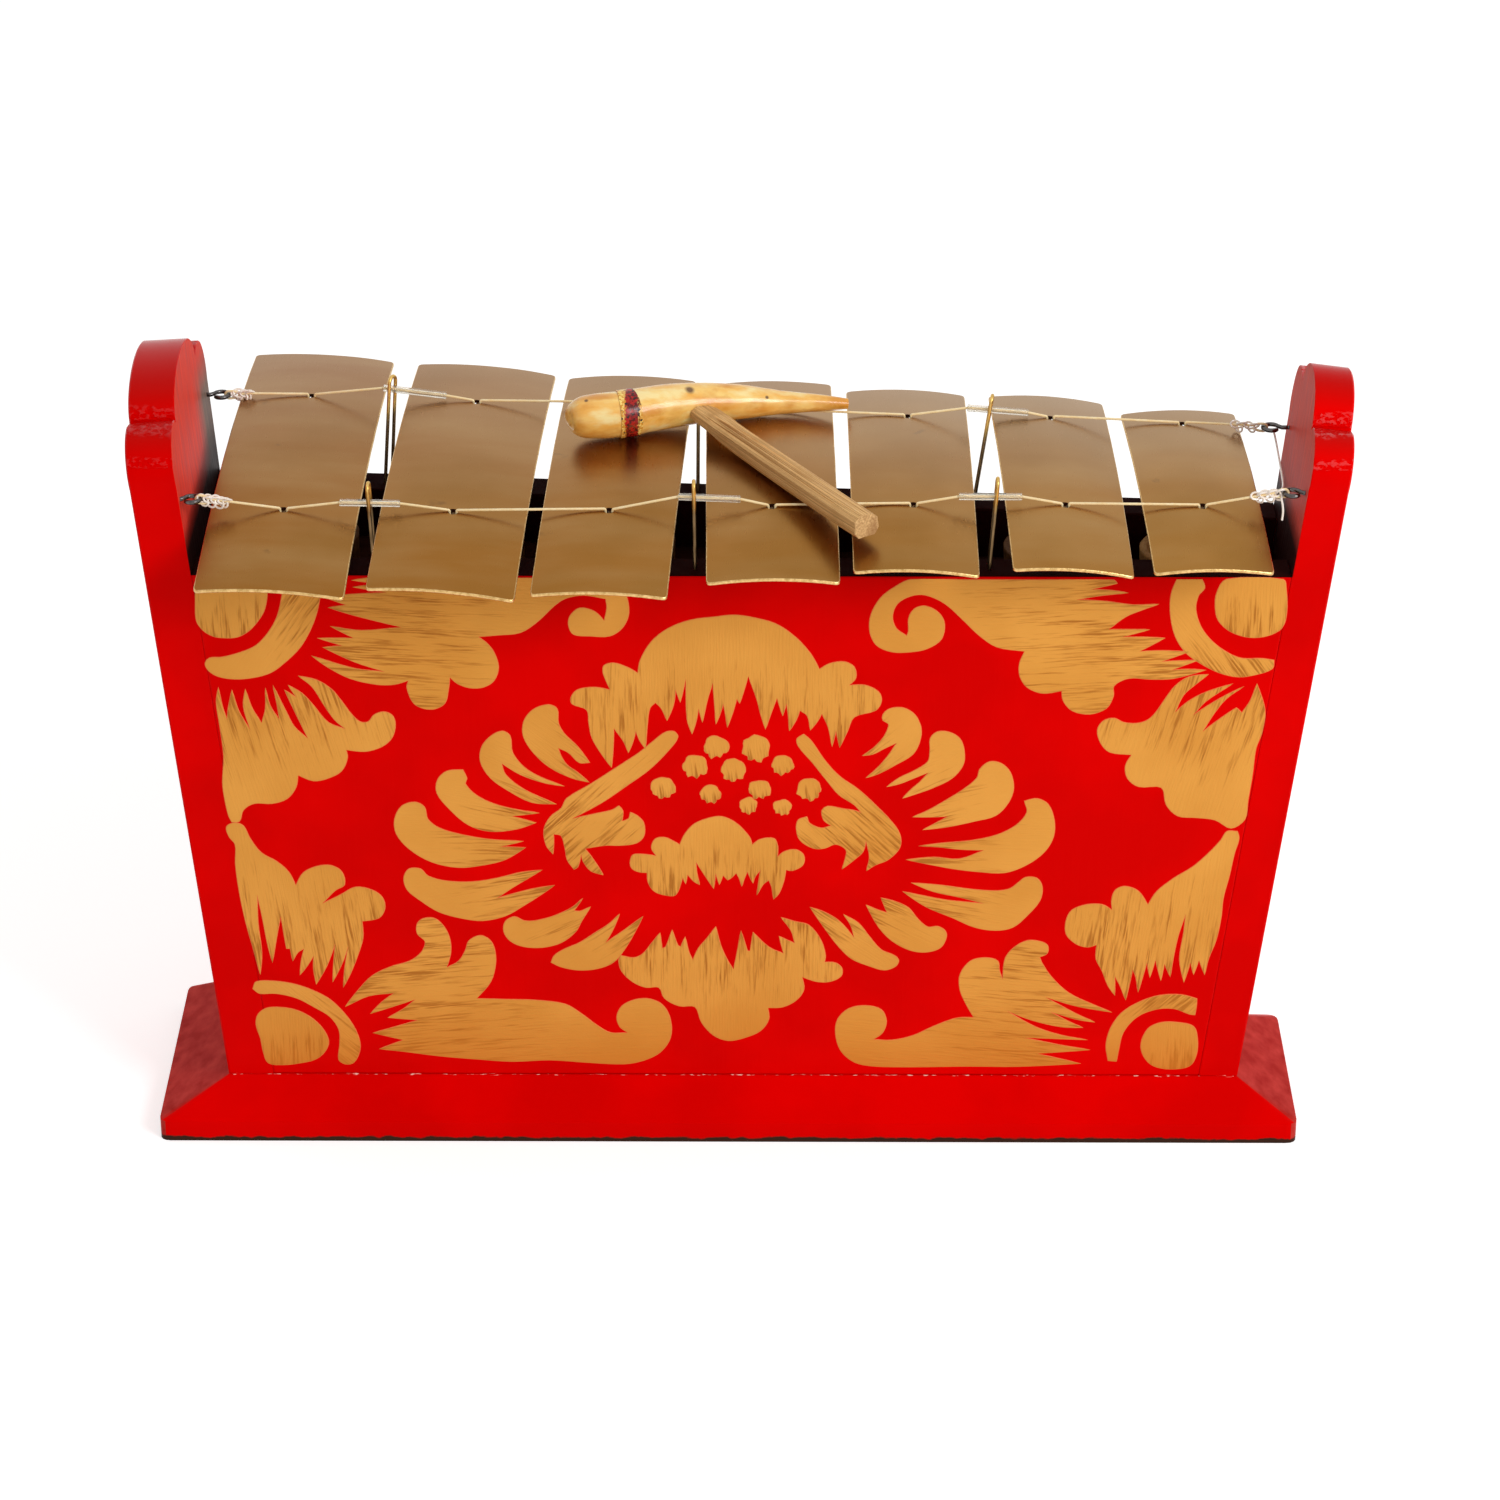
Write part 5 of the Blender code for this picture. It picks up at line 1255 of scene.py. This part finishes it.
def under_hole(number, end):
    """A key's frame, one hole's place on its top face, and the ways out of and along it there."""
    origin, turn, half, sagitta, holes, width = key_frame(number)
    y = holes[end]
    slope = -2 * sagitta * y / half**2
    place = Vector((0, y, key_drop(0, y, half, sagitta, width)))
    return origin, turn, place, Vector((0, -slope, 1)).normalized(), Vector((0, 1, slope)).normalized()


for number in range(7):
    for end, row in enumerate(("front", "back")):
        origin, turn, place, out, along = under_hole(number, end)
        centre = place - out * (KEY_THICK + PEG_GAP + PEG_R)
        path = [origin + turn @ (centre + along * PEG_LENGTH / 2 * share)
                for share in (-0.99, -0.94, 0.94, 0.99)]
        rings = sweep(path, [PEG_R * share for share in (0.75, 0.98, 0.98, 0.75)], 10)
        name = f"{row}_peg_{number + 1}"
        piece(name + "_stick", *skin(rings), SPLIT, f"key_{number + 1}", 35, "split_bamboo", (name,))


# The cords.
# Two lengths of cream nylon line, taut from eye to eye. Each goes down through every key's
# hole, round the peg and up again, and it is tied to both eyes in small hard knots.
CORD_R = 0.00068
LOOP_R = 0.00185
KNOT_R = 0.00055
EYE_CLEAR = 0.00022
LINE = streaky("nylon_line", (260, 260, 260), 2.0, (0.92, 0.67, 0.32, 1), (1.0, 0.84, 0.51, 1),
               (0.33, 0.17), (0.0001, 0.3))
KNOTTED = streaky("nylon_knots", (260, 260, 260), 2.0, (0.86, 0.74, 0.62, 1), (1.0, 0.94, 0.87, 1),
                  (0.28, 0.12), (0.0001, 0.3))


def rounded(path, steps):
    """A smooth curve through a path's points."""
    points = [Vector(point) for point in path]
    curve = []
    for i in range(len(points) - 1):
        p0, p1 = points[max(i - 1, 0)], points[i]
        p2, p3 = points[i + 1], points[min(i + 2, len(points) - 1)]
        for k in range(steps):
            t = k / steps
            curve.append(0.5 * (2 * p1 + (p2 - p0) * t + (2 * p0 - 5 * p1 + 4 * p2 - p3) * t**2
                                + (3 * p1 - p0 - 3 * p2 + p3) * t**3))
    curve.append(points[-1])
    return curve


def hole_path(number, end):
    """The line through one hole: down, round under the peg and up again."""
    origin, turn, place, out, _ = under_hole(number, end)
    peg_z = -(KEY_THICK + PEG_GAP + PEG_R)
    bend = LOOP_R * math.sqrt(0.5)
    side = [(-0.0025, 0.00095), (-LOOP_R, 0.0001), (-LOOP_R, peg_z), (-bend, peg_z - bend)]
    loop = side + [(0.0, peg_z - LOOP_R)] + [(-x, z) for x, z in reversed(side)]
    return [origin + turn @ (place + Vector((x, 0, 0)) + out * z) for x, z in loop]


def sleeve_line(post, z_base):
    """The two ends of a sleeve, where the line passes between a post's legs."""
    base, top, _, a, b = post
    share = ((a[1] + b[1]) / 2 - z_base) / (top[2] - z_base)
    y = base[1] + (top[1] - base[1]) * share
    return at(a[0], y, a[1]), at(b[0], y, b[1])


def eye_turn(centre, towards):
    """The line round a ring's wire, and the place of its knot."""
    side = 1.0 if centre[0] < 0 else -1.0
    reach = EYE_WIRE_R + EYE_CLEAR + CORD_R
    origin = at(*centre) + Vector((side * EYE_RING_R, 0, 0))
    line = (Vector(towards) - origin).normalized()
    rise = Vector((0, 0, reach * 0.9))
    points = [origin + line * 0.0052 - Vector((0, 0, 0.0009)), origin + line * 0.0026 - rise]
    for k in range(9):
        angle = math.radians(-90 - 22.5 * k)
        points.append(origin + Vector((side * reach * math.cos(angle), 0, reach * math.sin(angle))))
    points += [origin + line * 0.0026 + rise, origin + line * 0.0058 + Vector((0, 0, 0.0007))]
    return points, origin, line


def overhand(centre, line, size, spin):
    """A trefoil pulled tight, the shape of a single knot, with its long side along the line."""
    side = line.cross(Vector((0, 0, 1))).normalized()
    rise = side.cross(line)
    curve = []
    for k in range(49):
        t = 2 * math.pi * k / 48 + spin
        x, y, z = math.sin(t) + 2 * math.sin(2 * t), math.cos(t) - 2 * math.cos(2 * t), -math.sin(3 * t)
        curve.append(centre + (line * x * 1.15 + rise * y * 0.85 + side * z * 0.9) * size / 3)
    return curve


def tied(name, centre, towards, knots):
    """Knots along the line next to one eye."""
    _, origin, line = eye_turn(centre, towards)
    for number, (along, size, spin) in enumerate(knots):
        curve = overhand(origin + line * along, line, size, spin)
        rings = sweep(curve, KNOT_R, 8)
        piece(f"{name}_{number + 1}", *skin(rings), KNOTTED, slot="key_cord")


# how far from the ring, how big and how turned each knot is
KNOTS = {
    "back_left_eye": ((0.0048, 0.0036, 0.3), (0.0072, 0.0048, 1.4), (0.0096, 0.0036, 2.2)),
    "front_left_eye": ((0.0024, 0.0038, 0.9), (0.0060, 0.0042, 2.3), (0.0100, 0.0044, 0.2),
                       (0.0126, 0.0034, 1.1)),
    "back_right_eye": ((0.0060, 0.0036, 0.5), (0.0128, 0.0040, 1.9)),
    "front_right_eye": ((0.0034, 0.0040, 1.2), (0.0078, 0.0044, 0.1), (0.0130, 0.0038, 2.6)),
}
LOOSE_ENDS = {
    "loose_end_back": (
        (0.2876, 0.0985, 0.3790), (0.2886, 0.0955, 0.3750), (0.2888, 0.0780, 0.3722),
        (0.2880, 0.0520, 0.3728), (0.2862, 0.0330, 0.3768), (0.2842, 0.0215, 0.3806)),
    "loose_end_front": (
        (0.2830, 0.0110, 0.3800), (0.2836, 0.0085, 0.3775), (0.2838, 0.0068, 0.3740),
        (0.2834, 0.0060, 0.3700)),
}
for end, (row, posts, z_base) in enumerate(ROWS):
    holes = [hole_path(number, end) for number in range(7)]
    left, right = EYES[f"{row}_left_eye"], EYES[f"{row}_right_eye"]
    start, _, _ = eye_turn(left, holes[0][0])
    last, _, _ = eye_turn(right, holes[6][-1])
    path = rounded(start, 2)
    for number in range(7):
        path += rounded(holes[number], 4)
        if number in (0, 2, 4):
            path += sleeve_line(posts[number // 2], z_base)
    path += reversed(rounded(last, 2))
    rings = sweep(path, CORD_R, 10)
    piece(f"{row}_line", *skin(rings), LINE, slot="key_cord", nodes=(f"{row}_cord",))
    tied(f"{row}_left_knot", left, holes[0][0], KNOTS[f"{row}_left_eye"])
    tied(f"{row}_right_knot", right, holes[6][-1], KNOTS[f"{row}_right_eye"])
for name, spare in LOOSE_ENDS.items():
    rings = sweep(rounded([at(*point) for point in spare], 6), KNOT_R, 8)
    piece(name, *skin(rings), KNOTTED, slot="key_cord")


# The sleeves on the cords.
# Short lengths of clear plastic tube, threaded on the line where it passes between the legs of
# a post, so that the wire doesn't cut it. They are slightly milky, and the line shows through.
SLEEVE = streaky("clear_sleeve", (60, 900, 900), 1.8, (0.88, 0.82, 0.68, 1), (0.98, 0.95, 0.88, 1),
                 (0.10, 0.22), (0.0001, 0.2), Transmission_Weight=0.85, IOR=1.35)


def pipe(outer, inner):
    """A skin along the outer rings and back along the inner ones."""
    rings = outer + inner[::-1]
    points, faces = skin(rings + outer[:1], False)
    wrap = len(points) - len(outer[0])
    return points[:wrap], [tuple(index % wrap for index in face) for face in faces]


for row, posts, z_base in ROWS:
    for number, post in enumerate(posts):
        a, b = sleeve_line(post, z_base)
        along = (b - a).normalized() * 0.0003
        widths = [SLEEVE_R * share for share in (0.93, 0.99, 0.99, 0.93)]
        outer = sweep([a, a + along, b - along, b], widths, 20)
        name = f"{row}_sleeve_{number + 1}"
        piece(name + "_tube", *pipe(outer, sweep([a, b], SLEEVE_BORE, 20)), SLEEVE, slot="clear_sleeve",
              nodes=(name,))


# The mallet.
# A head turned and carved from pale hardwood, varnished yellow, with a painted ribbon round it
# and two fine scored rings. The handle is a split length of dry bamboo, notched over the head.
HEAD_SHAPE = (
    (-0.0842, 0.0895, 0.3897, 0.0035), (-0.0824, 0.0902, 0.3898, 0.0075),
    (-0.0779, 0.0910, 0.3899, 0.0107), (-0.0699, 0.0920, 0.3901, 0.0120),
    (-0.0578, 0.0938, 0.3904, 0.01235), (-0.0536, 0.0952, 0.3905, 0.01235),
    (-0.0495, 0.0968, 0.3905, 0.01235), (-0.0360, 0.1032, 0.3904, 0.0121),
    (-0.0150, 0.1112, 0.3896, 0.0110), (0.0062, 0.1155, 0.3884, 0.0094),
    (0.0273, 0.1185, 0.3869, 0.0066), (0.0487, 0.1208, 0.3857, 0.0046),
    (0.0634, 0.1225, 0.3846, 0.0030),
)
HEAD_SIDES = 40
HEAD_STEPS = 6
SCORED = (0.0268, 0.0290)
SCORE_DEPTH = 0.00018
# dark knots in the head's wood: their places and sizes
WOOD_KNOTS = (((-0.0204, 0.1046, 0.3995), 0.0032), ((-0.0741, 0.0880, 0.4005), 0.0014),
              ((0.0205, 0.1120, 0.3926), 0.0013), ((-0.0010, 0.1130, 0.3975), 0.0010))

made, tree, shader = finish("varnished_head", Coat_Weight=0.35, Coat_Roughness=0.12,
                            Specular_IOR_Level=0.35)
where = places(tree)[0]
cut = use(tree, grain_group, where, (30, 190, 190), 2.2)["Grain"]
flame = use(tree, strokes_group, where, (45, 90, 90), 2.4)["Strokes"]
color = blend(tree, cut, (0.90, 0.42, 0.060, 1), (1.0, 0.70, 0.22, 1))
color = blend(tree, span(tree, flame, 0.52, 0.86, 0.0, 0.80), color, (0.70, 0.26, 0.018, 1))
color = blend(tree, span(tree, flame, 0.42, 0.12, 0.0, 0.7), color, (1.0, 0.86, 0.42, 1))
for knot, size in WOOD_KNOTS:
    gap = add(tree, "ShaderNodeVectorMath", {0: where, 1: tuple(at(*knot))}, operation="DISTANCE")
    share = span(tree, gap.outputs["Value"], size, size * 0.45, 0.0, 0.9)
    color = blend(tree, share, color, (0.10, 0.035, 0.010, 1))
feed(tree, shader, color, span(tree, cut, 0.0, 1.0, 0.34, 0.22), cut, 0.0002, 0.25)
VARNISHED = made

axis = rounded([Vector(station[:3]) for station in HEAD_SHAPE], HEAD_STEPS)
axis = [at(*point) for point in axis]
radii = [size.x for size in rounded([Vector((station[3], 0, 0)) for station in HEAD_SHAPE], HEAD_STEPS)]
rings = sweep(axis, radii, HEAD_SIDES)
scores = [at(x, 0, 0).x for x in SCORED]
for station, (centre, ring) in enumerate(zip(axis, rings)):
    scored = SCORE_DEPTH if min(abs(centre.x - x) for x in scores) < 0.0006 else 0.0
    for k, point in enumerate(ring):
        round_it = k * 0.157
        uneven = noise.noise(Vector((station * 0.22, math.cos(round_it) * 1.3, math.sin(round_it) * 1.3)))
        ring[k] = point - (point - centre).normalized() * (0.0002 * (1 + uneven) + scored)
piece("carved_head", *skin(rings), VARNISHED, "mallet", 40, "polished_hardwood", ("mallet_head",))

# The ribbon is red between gold edges, in metal flakes that have come off here and there.
BAND_FIRST = 4 * HEAD_STEPS
BAND_LAST = 6 * HEAD_STEPS
GOLD_ENDS = -0.0533
GOLD_AGAIN = -0.0462
made, tree, shader = finish("ribbon_paint", Coat_Weight=0.15, Coat_Roughness=0.20, Specular_IOR_Level=0.25)
where, apart = places(tree)
flakes = add(tree, "ShaderNodeTexVoronoi", {"Vector": where, "Scale": 900.0}).outputs["Color"]
glint = add(tree, "ShaderNodeSeparateColor", {0: flakes}).outputs[0]
red = blend(tree, span(tree, glint, 0.3, 0.9), (0.10, 0.002, 0.002, 1), (0.52, 0.010, 0.006, 1))
gold = blend(tree, span(tree, glint, 0.2, 0.8), (0.70, 0.30, 0.03, 1), (1.0, 0.72, 0.20, 1))
edge = calc(tree, "MULTIPLY_ADD", glint, 0.0016, apart[0])
split, tail = at(GOLD_ENDS, 0, 0).x, at(GOLD_AGAIN, 0, 0).x
color = blend(tree, span(tree, edge, split, split + 0.0008), gold, red)
color = blend(tree, span(tree, edge, tail, tail + 0.0006), color, gold)
color = blend(tree, span(tree, glint, 0.90, 0.93), color, (0.020, 0.008, 0.006, 1))
feed(tree, shader, color, span(tree, glint, 0.0, 1.0, 0.18, 0.42), glint, 0.0001, 0.4)
outer, inner = [sweep(axis, [radius + more for radius in radii], HEAD_SIDES)[BAND_FIRST:BAND_LAST + 1]
                for more in (0.00032, 0.00002)]
piece("head_ribbon", *pipe(outer, inner), made, "mallet", 40, "band_ribbon", ("mallet_band",))

HANDLE_SHAPE = (
    (-0.0190, 0.1095, 0.3936, 0.0146, 0.0078), (-0.0138, 0.1018, 0.3930, 0.0150, 0.0082),
    (-0.0053, 0.0898, 0.3921, 0.0156, 0.0092), (0.0049, 0.0755, 0.3910, 0.0148, 0.0116),
    (0.0287, 0.0420, 0.3885, 0.0155, 0.0128), (0.0541, 0.0060, 0.3858, 0.0158, 0.0130),
    (0.0711, -0.0179, 0.3840, 0.0152, 0.0126),
)
HANDLE_SIDES = 84
HANDLE_STATIONS = 110
HANDLE_LENGTH = 0.16
HANDLE_GIRTH = 0.048
HANDLE_PROFILE = ((-0.50, -0.72), (-0.34, -1.0), (0.34, -1.0), (0.50, -0.74), (0.50, -0.26), (0.26, 0.0),
                  (-0.14, -0.02), (-0.44, -0.24))
# where round the handle, where it starts and ends along it, half width and depth in millimetres
GROOVES = ((0.640, 0.30, 1.0, 0.010, 1.0), (0.672, 0.12, 0.80, 0.008, 0.7), (0.705, 0.42, 1.0, 0.007, 0.9),
           (0.745, 0.05, 0.55, 0.009, 0.6), (0.800, 0.35, 0.95, 0.008, 0.8), (0.850, 0.10, 0.70, 0.007, 0.5),
           (0.900, 0.50, 1.0, 0.009, 0.7), (0.580, 0.25, 0.90, 0.008, 0.6), (0.520, 0.00, 0.60, 0.008, 0.5))


def handle_shape(around, stations):
    """Points, faces and lengths of a split, grooved stick that starts on the head's surface."""
    centres = rounded([Vector(station[:3]) for station in HANDLE_SHAPE], 12)
    sizes = rounded([Vector((station[3], station[4], 0)) for station in HANDLE_SHAPE], 12)
    along = (Vector(HANDLE_SHAPE[-1][:3]) - Vector(HANDLE_SHAPE[0][:3])).normalized()
    wide = along.cross(Vector((0, 0, 1))).normalized()
    sides = [Vector(point) for point in HANDLE_PROFILE]
    lengths = [(sides[(k + 1) % 8] - sides[k]).length for k in range(8)]
    lines = []
    for k in range(around):
        left = k / around * sum(lengths)
        n = 0
        while left > lengths[n]:
            left -= lengths[n]
            n += 1
        lines.append(sides[n].lerp(sides[(n + 1) % 8], left / lengths[n]))

    def spot(share, k):
        """A point at a share of the stick's length on the k-th line round it."""
        reach = share * (len(centres) - 1)
        n = min(int(reach), len(centres) - 2)
        here = centres[n].lerp(centres[n + 1], reach - n)
        width, height = sizes[n].lerp(sizes[n + 1], reach - n)[:2]
        turn = k / around
        coarse, sharp = (noise.noise(Vector((turn * rate, share * run, seed)))
                         for rate, run, seed in ((60, 2.2, 3.0), (150, 5, 9.0)))
        cut = 0.08 + 0.22 * coarse + 0.10 * sharp
        for middle, start, end, half, depth in GROOVES:
            drift = middle + 0.006 * math.sin(share * 5 + middle * 40)
            fade = max(0.0, min(1.0, (share - start) * 9, (end + 0.02 - share) * 14))
            cut += depth * fade * max(0.0, 1 - abs(turn - drift) / half) ** 0.8
        u, v = lines[k]
        centre = Vector((0, -0.5))
        pull = (lines[k] - centre).normalized()
        inward = (wide * pull.x + Vector((0, 0, pull.y))).normalized() * (-0.001 * max(0.0, cut))
        return at(*(here + wide * u * width + Vector((0, 0, v * height)) + inward))

    def clear(point):
        """Whether a point is outside the head."""
        return min((point - middle).length - radius for middle, radius in zip(axis, radii)) > 0.0002

    starts = []
    for k in range(around):
        share = 0.45
        while share > 0.01 and clear(spot(share - 0.004, k)):
            share -= 0.004
        starts.append(share)
    points, marks = [], []
    for level in range(stations + 1):
        t = level / stations
        for k in range(around):
            share = starts[k] + (1 - starts[k]) * t
            points.append(spot(share, k))
            marks.append((share * HANDLE_LENGTH, k / around * HANDLE_GIRTH))
    faces = []
    for a in range(0, stations * around, around):
        for k in range(around):
            n = (k + 1) % around
            faces.append((a + k, a + n, a + around + n, a + around + k))
    for level in (0, stations):
        ring = points[level * around:(level + 1) * around]
        points.append(sum(ring, Vector()) / around)
        marks.append(marks[level * around])
        hub = len(points) - 1
        for k in range(around):
            a, b = level * around + k, level * around + (k + 1) % around
            faces.append((a, b, hub) if level else (b, a, hub))
    return points, faces, marks


DRY = wood("dry_bamboo", (16, 1500, 1), (0.40, 0.185, 0.052, 1), (0.98, 0.60, 0.240, 1),
           (0.50, 0.25, 0.07, 1), 0.60, 2.6, (0.0005, 0.7), uv="fibre")
SPLIT_END = wood("split_end", (900, 900, 900), (0.40, 0.20, 0.07, 1), (0.84, 0.54, 0.24, 1),
                 (0.30, 0.13, 0.04, 1), 0.65, 2.2)
points, faces, marks = handle_shape(HANDLE_SIDES, HANDLE_STATIONS)
stick = piece("bamboo_handle", points, faces, DRY, "mallet", 45, "polished_hardwood", ("mallet_handle",))
stick.data.materials.append(SPLIT_END)
fibre = stick.data.uv_layers.new(name="fibre")
for loop in stick.data.loops:
    fibre.uv[loop.index].vector = marks[loop.vertex_index]
for side in list(stick.data.polygons)[-HANDLE_SIDES:]:
    side.material_index = 1
